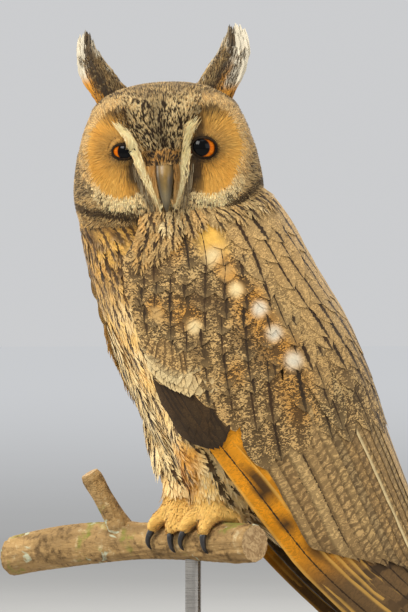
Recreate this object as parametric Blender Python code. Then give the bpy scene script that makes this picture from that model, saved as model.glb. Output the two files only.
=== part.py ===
"""A life-size long-eared owl that grips a cut branch on a plain display stand.

Metres, +Z up. The origin is the centre of the stand base's underside. The owl's body faces -Y, so
+X is its left side, and its head is turned to its left. Its body is laid out along an axis that
leans back from the head to the tail: "along" runs down that axis, "depth" from breast to back.
"""

import math

import bmesh
import bpy
import numpy as np
from mathutils import Matrix, Vector

MM = 0.001
LEFT = Vector((1, 0, 0))
UP = Vector((0, 0, 1))

# The gap that two pieces keep where they meet
GAP = 0.3 * MM
# Faces that turn by less than this count as one flat face
FLAT_ANGLE = math.radians(0.8)

# The body axis and the sections of the trunk, as (along, breast, back, half width)
LEAN = math.radians(27)
AXIS_TOP = Vector((0, -63.6, 328)) * MM
DOWN_AXIS = Vector((0, math.sin(LEAN), -math.cos(LEAN)))
TO_BACK = Vector((0, math.cos(LEAN), math.sin(LEAN)))
ROUNDNESS = 2.25
TRUNK = (
    (50, 34, 30, 25),
    (62, 47, 44, 36),
    (78, 52, 50, 42),
    (100, 54.5, 50.5, 45),
    (125, 55.5, 52.5, 46),
    (150, 56, 53, 45),
    (172, 53, 51, 42),
    (196, 44, 47, 37),
    (220, 31, 40, 30),
    (242, 18, 32, 22),
    (258, 9, 25, 15),
    (268, 4, 19, 8),
)
TRUNK_SIDES = 24
TRUNK_STEP = 12

# The head, turned to the bird's left, and its level sections as (height, half width, face, nape)
HEAD_AT = Vector((10, -39.8, 307)) * MM
HEAD_TURN = math.radians(72.5)
HEAD_ROLL = math.radians(3)
HEAD_ROUNDNESS = 2.3
HEAD = (
    (-50, 34, 22, 28),
    (-40, 44, 29, 36),
    (-30, 48, 33, 39),
    (-20, 49, 35.5, 40),
    (-8, 47.5, 37, 40),
    (5, 44.5, 37, 39),
    (16, 40.5, 35, 36),
    (25, 35, 30, 31),
    (31, 26, 22, 23),
    (34.5, 12, 10, 11),
)
# How many points go round the face and round the nape, and where the levels lie
FACE_SIDES = 23
NAPE_SIDES = 9
HEAD_LEVELS = (-50, -41, -34, -29, -25, -21, -17, -13, -9, -5, -1, 3, 7, 12, 17, 22, 27, 31, 34.5)

# The face: dishes round the eyes, the ridge between them and the rim round the dishes
EYE_SIDE = 18.7 * MM
EYE_HEIGHT = -1.0 * MM
EYE_RADIUS = 8.4 * MM
EYE_FRONT = 34.2 * MM
EYE_SPLAY = math.radians(14)
LID_OPENING = 6.2 * MM
LID_THICK = 1.2 * MM
LID_TURNS = 14
LID_SIDES = 5
DISH_DEEP = 3.2 * MM
RIDGE_HIGH = 2.6 * MM
RIM_HIGH = 1.8 * MM
RIM_WIDE = 0.17
RIM_CENTRE = (21.5 * MM, -4.5 * MM)
RIM_REACH = (20.5 * MM, 25.5 * MM)

# The collar between head and trunk, as (x, y, z, tilt, half length, face side, far side)
COLLAR = (
    (8, -37.5, 283, 0, 46, 32, 36),
    (6, -34.5, 268, 4, 49.5, 34, 37),
    (3, -31, 255, 12, 49, 36, 37),
    (1, -28, 243, 20, 45.5, 37, 37),
    (0, -23, 229, 27, 39, 36, 36),
)
HEAD_CUT = (Vector((0, -38, 271.5)) * MM, math.radians(9))
COLLAR_CUT = (Vector((0, -30, 256)) * MM, math.radians(17))

# The outer sheet of the folded wing, as (along, breast, back, half width), and its two edges in
# degrees round the body, 0 at its side and 90 at its back, as (along, lower edge, upper edge)
WING_SHEET = (
    (50, 42, 47, 38),
    (62, 52, 52, 44.5),
    (76, 56, 53, 48),
    (100, 58.5, 53.5, 50.5),
    (125, 59, 55, 51.5),
    (150, 59, 56.5, 50.5),
    (175, 57, 55, 47.5),
    (200, 52, 51.5, 43.5),
    (225, 45, 48.5, 38.5),
    (250, 37, 46, 34),
    (275, 27, 43, 30.5),
    (300, 17, 40, 27.5),
    (330, 10, 35, 23),
    (364, 8, 29, 14),
)
WING_EDGES = (
    (62, -33, 36),
    (70, -39, 48),
    (86, -43, 56),
    (108, -48, 60),
    (130, -50, 64),
    (150, -48, 67),
    (166, -46, 69),
    (194, -42, 74),
    (220, -41, 79),
    (243, -40, 82),
    (273, -30, 83),
    (300, -7, 82),
    (330, 18, 79),
    (350, 36, 76),
    (364, 54, 71),
)
WING_TOP = 66
WING_TIP = 350
WING_ROWS = 15
WING_COLUMNS = 9
# The share of the wing's width by which its core stays inside its edges
WING_INSET = 0.02
# How deep the wing's core reaches below its sheet, as (along, depth)
WING_CORE = ((64, 7), (150, 7), (200, 6), (230, 3.2), (300, 2.2), (350, 1.4))

# Each row of vanes on a wing: count, root and tip of the first and the last as
# (along, share across from the lower edge), half width, lift at root and tip
VANE_THICK = 1.0
# How thick a vane's edges are beside its middle, and its hollow across, per metre
VANE_EDGE = 0.62
VANE_CAMBER = 9.8
# How far a vane leans, so that each one's upper edge lies over the next
VANE_ROLL = -0.035
PRIMARY_ROLL = -0.03
# How far every second vane of a row stands higher, and each primary below the last
VANE_STEP = 0.35
PRIMARY_STEP = 0.12
# How far the vanes of a row reach down into the wing's core, which they cover
VANE_SUNK = 2.6
VANE_ROWS = {
    "secondaries": (7, (166, 0.24), (250, 0.22), (172, 0.80), (276, 0.86), 9.0, -1.2, 0.5),
    "tertials": (3, (158, 0.84), (268, 0.86), (150, 0.92), (286, 0.93), 7.8, -0.8, 1.2),
    "greater_coverts": (6, (132, 0.18), (180, 0.18), (134, 0.80), (194, 0.84), 10.6, -0.8, 1.5),
    "primary_coverts": (3, (130, 0.05), (168, 0.045), (134, 0.14), (178, 0.15), 6.6, -0.8, 1.3),
    "alula": (2, (98, 0.05), (134, 0.05), (102, 0.12), (142, 0.12), 5.8, -0.6, 1.9),
    "median_coverts": (6, (98, 0.16), (138, 0.15), (102, 0.72), (150, 0.72), 9.4, -0.6, 2.0),
    "scapulars": (5, (68, 0.58), (94, 0.46), (124, 0.80), (210, 0.76), 10.6, -0.4, 2.5),
    "inner_scapulars": (3, (68, 0.82), (108, 0.70), (126, 0.92), (204, 0.89), 10.0, -0.6, 2.2),
}
# The primaries from the inner one out to the outermost: along and share across of each tip
PRIMARY_TIPS = (
    (302, 0.80),
    (321, 0.79),
    (340, 0.76),
    (357, 0.66),
    (361, 0.46),
    (348, 0.29),
    (322, 0.13),
)
PRIMARY_ROOTS = ((160, 0.20), (150, 0.045))
PRIMARY_HALF = 7.6
PRIMARY_LIFT = (-1.4, 0.3)

# The tail: twelve feathers from the rump to the tip
TAIL_ROOT = (236, 10)
TAIL_TIP = (352, 7)
TAIL_PAIRS = 6
TAIL_ROOT_SPREAD = 11
TAIL_TIP_SPREAD = 23
TAIL_HALF = 7.4
TAIL_DROOP = 4.5
TAIL_STEP = 0.62
TAIL_GRADE = 10
# How far the left feather of a pair lies under the right one, and how far feathers lean outwards
TAIL_UNDER = 0.3
TAIL_ROLL = 0.28
TAIL_THICK = 1.1
TAIL_CAMBER = 2.0
# The core that the tail feathers grow from, as (along, depth) of its ends and its radii
TAIL_CORE = ((242, 6), (280, 3))
TAIL_CORE_RADII = ((14, 6), (14.5, 5), (14.5, 3.6), (13.5, 1.6))

# The ear tufts: base and tip in the head's own frame, as (side, face, height)
TUFT_BASE = (24.5, 8, 24.5)
TUFT_TIP = (36.4, 3, 60.5)
TUFT_BOW = 4.2
TUFT_SPREAD = (-8.8, -6.0, -3.2, -0.6, 2.0, 4.6)
TUFT_LENGTHS = (0.52, 0.70, 0.86, 1.0, 0.93, 0.74)
TUFT_HALF = 3.5
TUFT_THICK = 1.3
TUFT_CAMBER = 12.0
# How far the outer vanes lie behind the middle ones, and how much each vane leans, by its spread
TUFT_BEHIND = 0.22
TUFT_ROLL = 0.05
# The core at the tuft's root: its ends, from the tuft's base, and its radii
TUFT_CORE = ((-1, -1, -3), (3, -2, 15))
TUFT_CORE_RADII = ((8.0, 4.6), (7.2, 3.8), (5.2, 2.6), (2.2, 1.2))

# The bill, in the head's own frame: (face, height, half width, half depth) down its curve
BILL_SIDE = 0.4
UPPER_BILL = (
    (33.0, -4.0, 4.6, 4.6),
    (38.0, -8.0, 4.9, 4.8),
    (41.8, -13.5, 4.4, 4.4),
    (43.2, -19.5, 3.5, 3.6),
    (42.6, -25.0, 2.4, 2.6),
    (40.8, -29.5, 1.2, 1.3),
    (39.4, -31.8, 0.4, 0.4),
)
LOWER_BILL = (
    (31.0, -16.0, 4.0, 2.6),
    (35.0, -19.5, 3.7, 2.4),
    (37.4, -23.0, 2.8, 1.9),
    (38.2, -26.5, 1.5, 1.1),
)
NOSTRIL = (3.6, 41.2, -10.5)
NOSTRIL_RADIUS = 1.1

# The perch: a cut branch across which the owl stands
BRANCH_TURN = math.radians(30)
BRANCH_AT = Vector((0, -23.5, 111.5)) * MM
BRANCH_RADIUS = 9.4 * MM
BRANCH_FAR = -124 * MM
BRANCH_NEAR = 43 * MM
# The branch's bends and sag over a span on either side of the feet, its waves and its taper
BRANCH_SPAN = 100 * MM
BRANCH_SWAY = (0, 2.0, 3.2)
BRANCH_SAG = 2.5 * MM
BRANCH_WAVES = 0.05
BRANCH_WAVE_LENGTH = 17 * MM
BRANCH_TAPER = 0.9
BRANCH_ALONG = Vector((math.cos(BRANCH_TURN), math.sin(BRANCH_TURN), 0))
BRANCH_AHEAD = Vector((math.sin(BRANCH_TURN), -math.cos(BRANCH_TURN), 0))
STUB_FROM = -46 * MM
STUB_LENGTH = 40 * MM
STUB_RADIUS = 5.2 * MM
STUB_LEAN = (0.86, 0.45, 0.24)
STUB_SHAPE = ((0, 1.25), (0.35, 1.0), (0.7, 0.92), (0.93, 0.98), (1, 0.7))

# The legs and feet: each foot's place along the branch, and the ankle above it
# The two feet's places along the branch, left and right
FEET_ALONG = (14 * MM, -9 * MM)
HIP = (146, -38, 19)
ANKLE_HIGH = 140 * MM
# How far ahead of the branch's line each ankle stands, left and right
ANKLES_AHEAD = (5 * MM, -1 * MM)
THIGH_RADII = ((0.0, 13.0), (0.35, 12.6), (0.7, 10.8), (1.0, 9.0))
TARSUS_RADIUS = 8.4 * MM
TARSUS_SHAPE = (1.26, 1.12, 1.0, 1.04)
# The palm's place over the branch, and how far leg and foot run past their meeting plane
PALM_ANGLE = 4
PALM_HIGH = 4.5 * MM
ANKLE_LAP = 6 * MM
# Toes as (side along the branch at root, at tip, first and last angle over the branch in degrees)
TOES = (
    (-4.0, -9.5, -4, 70),
    (2.8, 5.0, -2, 78),
    (5.0, 10.0, 20, -62),
    (-4.2, -4.4, 12, -66),
)
TOE_ROOT = 5.2 * MM
TOE_TIP = 3.8 * MM
CLAW_SWEEP = 44
# The share of the claw's sweep that lies inside the toe
CLAW_SUNK = 0.22
CLAW_ROOT = 1.75 * MM
CLAW_TIP = 0.4 * MM

# The stand
BASE_RADIUS = 86 * MM
BASE_THICK = 12 * MM
BASE_EDGE = 2 * MM
ROD_RADIUS = 4 * MM
ROD_COLLAR = 8 * MM
COLLAR_THICK = 4 * MM
# How far the rod runs up into the branch before it is cut to its underside
ROD_LAP = 3 * MM

COLOURS = {
    "plumage": ((0.22, 0.135, 0.06), 0.9, 0.0),
    "breast": ((0.42, 0.30, 0.15), 0.9, 0.0),
    "face": ((0.50, 0.27, 0.06), 0.9, 0.0),
    "flight": ((0.26, 0.17, 0.08), 0.8, 0.0),
    "leg": ((0.62, 0.42, 0.19), 0.9, 0.0),
    "eye": ((0.55, 0.14, 0.01), 0.1, 0.0),
    "horn": ((0.035, 0.032, 0.03), 0.35, 0.0),
    "bark": ((0.11, 0.075, 0.045), 0.95, 0.0),
    "wood": ((0.05, 0.035, 0.025), 0.4, 0.0),
    "steel": ((0.30, 0.28, 0.26), 0.35, 1.0),
}


def material(name):
    found = bpy.data.materials.get(name)
    if found:
        return found
    colour, roughness, metallic = COLOURS[name]
    made = bpy.data.materials.new(name)
    made.use_nodes = True
    shader = made.node_tree.nodes["Principled BSDF"]
    shader.inputs["Base Color"].default_value = (*colour, 1)
    shader.inputs["Roughness"].default_value = roughness
    shader.inputs["Metallic"].default_value = metallic
    return made


def object_of(bm, name, slot):
    """A new object in the scene from a bmesh, with its faces turned out."""
    bmesh.ops.recalc_face_normals(bm, faces=bm.faces)
    if bm.calc_volume(signed=True) < 0:
        bmesh.ops.reverse_faces(bm, faces=bm.faces)
    mesh = bpy.data.meshes.new(name)
    bm.to_mesh(mesh)
    bm.free()
    mesh.materials.append(material(slot))
    mesh.shade_smooth()
    made = bpy.data.objects.new(name, mesh)
    bpy.context.scene.collection.objects.link(made)
    return made


def smooth(table, at):
    """The row of a table at a place between its stations, on a curve through them."""
    rows = np.asarray(table, float)
    places = rows[:, 0]
    at = min(max(at, places[0]), places[-1])
    slopes = np.gradient(rows[:, 1:], places, axis=0)
    i = int(np.clip(np.searchsorted(places, at) - 1, 0, len(places) - 2))
    span = places[i + 1] - places[i]
    t = (at - places[i]) / span
    return (
        (2 * t**3 - 3 * t**2 + 1) * rows[i, 1:]
        + (t**3 - 2 * t**2 + t) * span * slopes[i]
        + (3 * t**2 - 2 * t**3) * rows[i + 1, 1:]
        + (t**3 - t**2) * span * slopes[i + 1]
    )


def oval(angle, roundness):
    """The two shares of a rounded oval's half axes at an angle."""
    c, s = math.cos(angle), math.sin(angle)
    power = 2 / roundness
    return math.copysign(abs(c) ** power, c), math.copysign(abs(s) ** power, s)


def body_point(along, depth, side):
    """A place on or in the body, from millimetres along the axis, towards the back and left."""
    return AXIS_TOP + (DOWN_AXIS * along + TO_BACK * depth + LEFT * side) * MM


def section_point(table, along, angle):
    breast, back, half = smooth(table, along)
    c, s = oval(angle, ROUNDNESS)
    return body_point(along, (back if s > 0 else breast) * s, half * c)


def loft(rings, name, slot):
    """A closed solid through rings of points, each end closed by a fan to its middle."""
    bm = bmesh.new()
    made = [[bm.verts.new(p) for p in ring] for ring in rings]
    for low, high in zip(made, made[1:]):
        for i in range(len(low)):
            j = (i + 1) % len(low)
            bm.faces.new((low[i], low[j], high[j], high[i]))
    for ring in (made[0], made[-1]):
        middle = bm.verts.new(sum((v.co for v in ring), Vector()) / len(ring))
        for i in range(len(ring)):
            bm.faces.new((ring[i], ring[(i + 1) % len(ring)], middle))
    bmesh.ops.triangulate(bm, faces=bm.faces)
    return object_of(bm, name, slot)


def tube_rings(points, radii, sides, first_side=UP):
    """Round rings along a line of points, turned with it and without twist."""
    rings = []
    across = first_side
    for i, (point, radius) in enumerate(zip(points, radii)):
        ahead = points[min(i + 1, len(points) - 1)] - points[max(i - 1, 0)]
        ahead.normalize()
        across = (across - ahead * across.dot(ahead)).normalized()
        other = ahead.cross(across)
        wide, deep = radius if isinstance(radius, tuple) else (radius, radius)
        rings.append(
            [
                point + across * deep * math.cos(a) + other * wide * math.sin(a)
                for a in (2 * math.pi * k / sides for k in range(sides))
            ]
        )
    return rings


def applied(obj):
    """The object with its modifiers made part of its mesh."""
    bpy.context.view_layer.update()
    graph = bpy.context.evaluated_depsgraph_get()
    mesh = bpy.data.meshes.new_from_object(obj.evaluated_get(graph))
    obj.modifiers.clear()
    obj.data = mesh
    return obj


def keep_largest(obj):
    """Drops every closed surface of the mesh but the one that holds the most."""
    bm = bmesh.new()
    bm.from_mesh(obj.data)
    left = set(bm.faces)
    best, best_volume = None, -1.0
    shells = []
    while left:
        shell, edge = set(), [left.pop()]
        while edge:
            face = edge.pop()
            shell.add(face)
            near = {f for e in face.edges for f in e.link_faces if f in left}
            left -= near
            edge.extend(near)
        volume = sum(
            f.calc_area() * f.normal.dot(f.calc_center_median()) for f in shell
        )
        shells.append(shell)
        if volume > best_volume:
            best, best_volume = shell, volume
    loose = [f for shell in shells if shell is not best for f in shell]
    bmesh.ops.delete(bm, geom=loose, context="FACES")
    bm.to_mesh(obj.data)
    bm.free()
    return obj


def tidied(obj):
    """Splits a node's faces into triangles, with its flat parts first made whole."""
    for angle in (FLAT_ANGLE, FLAT_ANGLE / 2, FLAT_ANGLE / 4, 0):
        for way in ("BEAUTY", "EAR_CLIP"):
            bm = bmesh.new()
            bm.from_mesh(obj.data)
            if angle:
                bmesh.ops.dissolve_limit(bm, angle_limit=angle, verts=bm.verts, edges=bm.edges)
            bmesh.ops.triangulate(bm, faces=bm.faces, ngon_method=way)
            closed = all(len(e.link_faces) == 2 for e in bm.edges)
            if closed:
                bm.to_mesh(obj.data)
            bm.free()
            if closed:
                return


def joined(base, pieces):
    """One closed body from a base and the pieces that grow from it."""
    group = bpy.data.collections.new("pieces")
    bpy.context.scene.collection.children.link(group)
    for piece in pieces:
        group.objects.link(piece)
    union = base.modifiers.new("join", "BOOLEAN")
    union.operation = "UNION"
    union.operand_type = "COLLECTION"
    union.collection = group
    union.solver = "MANIFOLD"
    applied(base)
    for piece in pieces:
        bpy.data.objects.remove(piece)
    bpy.data.collections.remove(group)
    return keep_largest(base)


def cut(obj, cutter, operation="DIFFERENCE", keep_cutter=False):
    knife = obj.modifiers.new("cut", "BOOLEAN")
    knife.operation = operation
    knife.object = cutter
    knife.solver = "MANIFOLD"
    applied(obj)
    if not keep_cutter:
        bpy.data.objects.remove(cutter)
    return keep_largest(obj)


def swollen(obj, by):
    """A copy of a solid that stands proud of it by a small distance, as a cutter."""
    bm = bmesh.new()
    bm.from_mesh(obj.data)
    bm.normal_update()
    moves = [v.normal * by for v in bm.verts]
    for vert, move in zip(bm.verts, moves):
        vert.co += move
    made = object_of(bm, "knife", "plumage")
    made.hide_render = True
    made.display_type = "WIRE"
    return made


def copied(obj, name):
    made = bpy.data.objects.new(name, obj.data.copy())
    bpy.context.scene.collection.objects.link(made)
    return made


def mirrored(obj, name):
    """The right-hand twin of a left-hand piece."""
    made = copied(obj, name)
    bm = bmesh.new()
    bm.from_mesh(made.data)
    bmesh.ops.scale(bm, vec=(-1, 1, 1), verts=bm.verts)
    bmesh.ops.reverse_faces(bm, faces=bm.faces)
    bm.to_mesh(made.data)
    bm.free()
    return made


def half_space(place, tilt, above):
    """A large block whose face passes through a place, tilted about X, as a cutter."""
    size = 400 * MM
    bm = bmesh.new()
    bmesh.ops.create_cube(bm, size=size)
    lift = size / 2 + GAP / 2
    bmesh.ops.translate(bm, vec=(0, 0, lift if above else -lift), verts=bm.verts)
    bmesh.ops.transform(bm, matrix=Matrix.Rotation(tilt, 4, "X"), verts=bm.verts)
    bmesh.ops.translate(bm, vec=place, verts=bm.verts)
    made = object_of(bm, "half_space", "plumage")
    made.hide_render = True
    made.display_type = "WIRE"
    return made


# The head's own frame

HEAD_FACE = Vector((math.sin(HEAD_TURN), -math.cos(HEAD_TURN), 0))
LEVEL_SIDE = Vector((math.cos(HEAD_TURN), math.sin(HEAD_TURN), 0))
HEAD_SIDE = LEVEL_SIDE * math.cos(HEAD_ROLL) + UP * math.sin(HEAD_ROLL)
HEAD_UP = UP * math.cos(HEAD_ROLL) - LEVEL_SIDE * math.sin(HEAD_ROLL)


def head_place(side, face, height):
    """A place in the head's frame, in metres towards its left, its face and its crown."""
    return HEAD_AT + HEAD_SIDE * side + HEAD_FACE * face + HEAD_UP * height


def bell(x):
    return math.exp(-x * x)


def face_relief(side, height):
    """How far the face stands out from the plain head: ridge and rims up, dishes down."""
    outer = abs(side)
    dish = DISH_DEEP * bell((outer - 21 * MM) / (12 * MM)) * bell((height + 5 * MM) / (17 * MM))
    ridge = RIDGE_HIGH * bell(side / (6 * MM)) * bell((height - 0 * MM) / (20 * MM))
    reach = math.hypot(
        (outer - RIM_CENTRE[0]) / RIM_REACH[0], (height - RIM_CENTRE[1]) / RIM_REACH[1]
    )
    rim = RIM_HIGH * bell((reach - 1.0) / RIM_WIDE)
    return ridge + rim - dish


def head_point(level, angle):
    half, face, nape = smooth(HEAD, level) * MM
    c, s = oval(angle, HEAD_ROUNDNESS)
    side = half * c
    ahead = (face if s > 0 else nape) * s
    height = level * MM
    if s > 0:
        ahead += face_relief(side, height) * min(1.0, 2.5 * s)
    return head_place(side, ahead, height)


def make_head():
    front = [math.pi * k / FACE_SIDES for k in range(FACE_SIDES)]
    rear = [math.pi * (1 + k / NAPE_SIDES) for k in range(NAPE_SIDES)]
    rings = [[head_point(z, a) for a in front + rear] for z in HEAD_LEVELS]
    return loft(rings, "whole_body", "face")


def collar_ring(row):
    x, y, z, tilt, half, near, far = row
    tilt = math.radians(tilt)
    turn = HEAD_TURN + (math.pi / 2 - HEAD_TURN) * tilt / LEAN
    side = Vector((math.cos(turn), math.sin(turn) * math.cos(tilt), math.sin(tilt)))
    face = Vector((math.sin(turn), -math.cos(turn), 0))
    sides = TRUNK_SIDES
    ring = []
    for k in range(sides):
        c, s = oval(2 * math.pi * k / sides, ROUNDNESS)
        out = (near if s > 0 else far) * s
        ring.append((Vector((x, y, z)) + side * half * c + face * out) * MM)
    return ring


def make_collar():
    return loft([collar_ring(row) for row in COLLAR], "collar", "breast")


def make_trunk():
    places = np.arange(TRUNK[0][0], TRUNK[-1][0] + 0.1, TRUNK_STEP)
    rings = [
        [
            section_point(TRUNK, a, 2 * math.pi * k / TRUNK_SIDES)
            for k in range(TRUNK_SIDES)
        ]
        for a in [*places[:-1], TRUNK[-1][0]]
    ]
    return loft(rings, "torso", "breast")


def eye_middle(hand):
    ahead = EYE_FRONT - EYE_RADIUS
    return head_place(hand * EYE_SIDE, ahead, EYE_HEIGHT)


def eye_aim(hand):
    return HEAD_FACE * math.cos(EYE_SPLAY) + HEAD_SIDE * hand * math.sin(EYE_SPLAY)


def ball(middle, radius, name, slot, sides):
    bm = bmesh.new()
    bmesh.ops.create_uvsphere(bm, u_segments=sides, v_segments=sides * 2 // 3, radius=radius)
    bmesh.ops.triangulate(bm, faces=bm.faces)
    bmesh.ops.translate(bm, vec=middle, verts=bm.verts)
    return object_of(bm, name, slot)


def make_lid(hand):
    """A ring of lid round the eye, leaning with it."""
    aim = eye_aim(hand)
    middle = eye_middle(hand) + aim * (EYE_RADIUS**2 - LID_OPENING**2) ** 0.5
    first = (HEAD_UP - aim * HEAD_UP.dot(aim)).normalized()
    other = aim.cross(first)
    turns, sides = LID_TURNS, LID_SIDES
    bm = bmesh.new()
    grid = []
    for i in range(turns):
        a = 2 * math.pi * i / turns
        out = first * math.cos(a) + other * math.sin(a)
        centre = middle + out * (LID_OPENING + 0.35 * LID_THICK)
        grid.append(
            [
                bm.verts.new(
                    centre
                    + out * LID_THICK * math.cos(b)
                    + aim * LID_THICK * math.sin(b)
                )
                for b in (2 * math.pi * k / sides for k in range(sides))
            ]
        )
    for i in range(turns):
        here, there = grid[i], grid[(i + 1) % turns]
        for k in range(sides):
            m = (k + 1) % sides
            bm.faces.new((here[k], here[m], there[m], there[k]))
    bmesh.ops.triangulate(bm, faces=bm.faces)
    return object_of(bm, "lid", "face")


def bill_rings(table):
    points = [head_place(BILL_SIDE * MM, f * MM, h * MM) for f, h, _, _ in table]
    radii = [(w * MM, d * MM) for _, _, w, d in table]
    return tube_rings(points, radii, 10, HEAD_FACE)


# Vanes: flat feathers of one closed surface, alike in their upper and lower faces

# The length from which a vane has the longer outline, of one more station
LONG_FROM = 70

LONG_SHAPE = ((0.0, 0.6), (0.45, 1.0), (0.86, 0.82), (1.0, 0.22))
SHORT_SHAPE = ((0.0, 0.8), (0.76, 1.0), (1.0, 0.30))


def vane_solid(line, normals, halves, thick, camber, roll=0.0, sunk=0.0):
    """A closed plate along a line: three points across above and three below at each station."""
    bm = bmesh.new()
    rows = []
    for i, (point, normal, half) in enumerate(zip(line, normals, halves)):
        ahead = (line[min(i + 1, len(line) - 1)] - line[max(i - 1, 0)]).normalized()
        across = normal.cross(ahead).normalized()
        row = []
        for level in (0.5, -0.5):
            for c in (-1, 0, 1):
                edge = VANE_EDGE if c else 1.0
                lift = level * thick * edge - camber * c * c * half * half + roll * c * half
                if level < 0:
                    lift -= sunk
                row.append(bm.verts.new(point + across * c * half + normal * lift))
        rows.append(row)
    top, under = (0, 1, 2), (3, 4, 5)
    for here, there in zip(rows, rows[1:]):
        for a, b in ((0, 1), (1, 2)):
            split_quad(bm, here[top[a]], here[top[b]], there[top[b]], there[top[a]])
            split_quad(bm, here[under[a]], here[under[b]], there[under[b]], there[under[a]])
        for edge in (0, 2):
            over, below = top[edge], under[edge]
            split_quad(bm, here[over], here[below], there[below], there[over])
    for row in (rows[0], rows[-1]):
        split_quad(bm, row[0], row[1], row[4], row[3])
        split_quad(bm, row[1], row[2], row[5], row[4])
    return object_of(bm, "vane", "flight")


def split_quad(bm, a, b, c, d):
    bm.faces.new((a, b, c))
    bm.faces.new((a, c, d))


def wing_angle(along, share):
    low, high = smooth(WING_EDGES, along)
    return math.radians(low + (high - low) * share)


def wing_normal(along, angle):
    step = 0.02
    ahead = section_point(WING_SHEET, along + 1, angle) - section_point(
        WING_SHEET, along - 1, angle
    )
    round_ = section_point(WING_SHEET, along, angle + step) - section_point(
        WING_SHEET, along, angle - step
    )
    return round_.cross(ahead).normalized() * -1


def wing_point(along, share, lift):
    angle = wing_angle(along, share)
    return section_point(WING_SHEET, along, angle) + wing_normal(along, angle) * lift * MM


def wing_core():
    """The wing under its vanes: a curved slab on the body's side that runs on to the tip."""
    bm = bmesh.new()
    faces = []
    for side in (0, 1):
        grid = []
        for a in np.linspace(WING_TOP, WING_TIP, WING_ROWS):
            (deep,) = smooth(WING_CORE, a)
            row = []
            for share in np.linspace(WING_INSET, 1 - WING_INSET, WING_COLUMNS):
                edge = 1 - 0.5 * abs(2 * share - 1) ** 6
                row.append(bm.verts.new(wing_point(a, share, -deep * edge if side else 0)))
            grid.append(row)
        for here, there in zip(grid, grid[1:]):
            for i in range(WING_COLUMNS - 1):
                split_quad(bm, here[i], here[i + 1], there[i + 1], there[i])
        faces.append(grid)
    upper, lower = faces
    outline = [(0, i) for i in range(WING_COLUMNS)]
    outline += [(j, WING_COLUMNS - 1) for j in range(1, WING_ROWS)]
    outline += [(WING_ROWS - 1, i) for i in range(WING_COLUMNS - 2, -1, -1)]
    outline += [(j, 0) for j in range(WING_ROWS - 2, 0, -1)]
    for (j, i), (m, n) in zip(outline, outline[1:] + outline[:1]):
        split_quad(bm, upper[j][i], upper[m][n], lower[m][n], lower[j][i])
    return object_of(bm, "wing_left", "plumage")


def wing_vane(root, tip, half, lifts, roll, sunk=0.0):
    line, normals, halves = [], [], []
    long = tip[0] - root[0] > LONG_FROM
    for t, wide in LONG_SHAPE if long else SHORT_SHAPE:
        a = root[0] + (tip[0] - root[0]) * t
        share = root[1] + (tip[1] - root[1]) * t
        lift = lifts[0] + (lifts[1] - lifts[0]) * t
        line.append(wing_point(a, share, lift))
        normals.append(wing_normal(a, wing_angle(a, share)))
        halves.append(half * wide * MM)
    return vane_solid(line, normals, halves, VANE_THICK * MM, VANE_CAMBER, roll, sunk * MM)


def wing_row(row):
    count, root_a, tip_a, root_b, tip_b, half, low, high = row
    vanes = []
    for i in range(count):
        t = i / (count - 1)
        root = [root_a[k] + (root_b[k] - root_a[k]) * t for k in (0, 1)]
        tip = [tip_a[k] + (tip_b[k] - tip_a[k]) * t for k in (0, 1)]
        step = VANE_STEP if i % 2 else 0.0
        vanes.append(wing_vane(root, tip, half, (low, high + step), VANE_ROLL, VANE_SUNK))
    return vanes


def primaries():
    vanes = []
    inner, outer = PRIMARY_ROOTS
    last = len(PRIMARY_TIPS) - 1
    for i, tip in enumerate(PRIMARY_TIPS):
        t = i / last
        root = [inner[k] + (outer[k] - inner[k]) * t for k in (0, 1)]
        lift = (PRIMARY_LIFT[0], PRIMARY_LIFT[1] - PRIMARY_STEP * i)
        vanes.append(wing_vane(root, tip, PRIMARY_HALF, lift, PRIMARY_ROLL))
    return vanes


def make_wing():
    vanes = primaries()
    for row in VANE_ROWS.values():
        vanes += wing_row(row)
    return joined(wing_core(), vanes)


def tail_vane(pair, hand):
    """One tail feather: the middle pair lies on top and each further pair a step below."""
    share = (pair + 0.5) / TAIL_PAIRS
    line, normals, halves = [], [], []
    for t, wide in SHORT_SHAPE:
        a = TAIL_ROOT[0] + (TAIL_TIP[0] - TAIL_GRADE * share**2 - TAIL_ROOT[0]) * t
        spread = TAIL_ROOT_SPREAD + (TAIL_TIP_SPREAD - TAIL_ROOT_SPREAD) * t
        depth = TAIL_ROOT[1] + (TAIL_TIP[1] - TAIL_ROOT[1]) * t
        depth -= TAIL_DROOP * share**2 + TAIL_STEP * pair + (TAIL_UNDER if hand > 0 else 0)
        line.append(body_point(a, depth, hand * spread * share))
        normals.append((TO_BACK + LEFT * hand * TAIL_ROLL * share).normalized())
        halves.append(TAIL_HALF * wide * MM)
    return vane_solid(line, normals, halves, TAIL_THICK * MM, TAIL_CAMBER)


def make_tail():
    root, end = [body_point(along, depth, 0) for along, depth in TAIL_CORE]
    points = [root.lerp(end, t) for t in (0, 0.35, 0.7, 1)]
    radii = [(wide * MM, deep * MM) for wide, deep in TAIL_CORE_RADII]
    core = loft(tube_rings(points, radii, 12, TO_BACK), "tail", "flight")
    vanes = [tail_vane(pair, hand) for pair in range(TAIL_PAIRS) for hand in (-1, 1)]
    return joined(core, vanes)


def tuft_vane(hand, spread, share):
    base = Vector(TUFT_BASE)
    tip = Vector(TUFT_TIP)
    line, normals, halves = [], [], []
    for t, wide in LONG_SHAPE:
        bow = TUFT_BOW * math.sin(math.pi * t * share)
        fan = spread * (1 - 0.5 * share * t)
        place = base + (tip - base) * share * t
        side = hand * (place.x + bow + fan)
        face = place.y - abs(spread) * TUFT_BEHIND
        line.append(head_place(side * MM, face * MM, place.z * MM))
        normals.append((HEAD_FACE + HEAD_SIDE * hand * TUFT_ROLL * spread).normalized())
        halves.append(TUFT_HALF * wide * MM)
    return vane_solid(line, normals, halves, TUFT_THICK * MM, TUFT_CAMBER)


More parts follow.
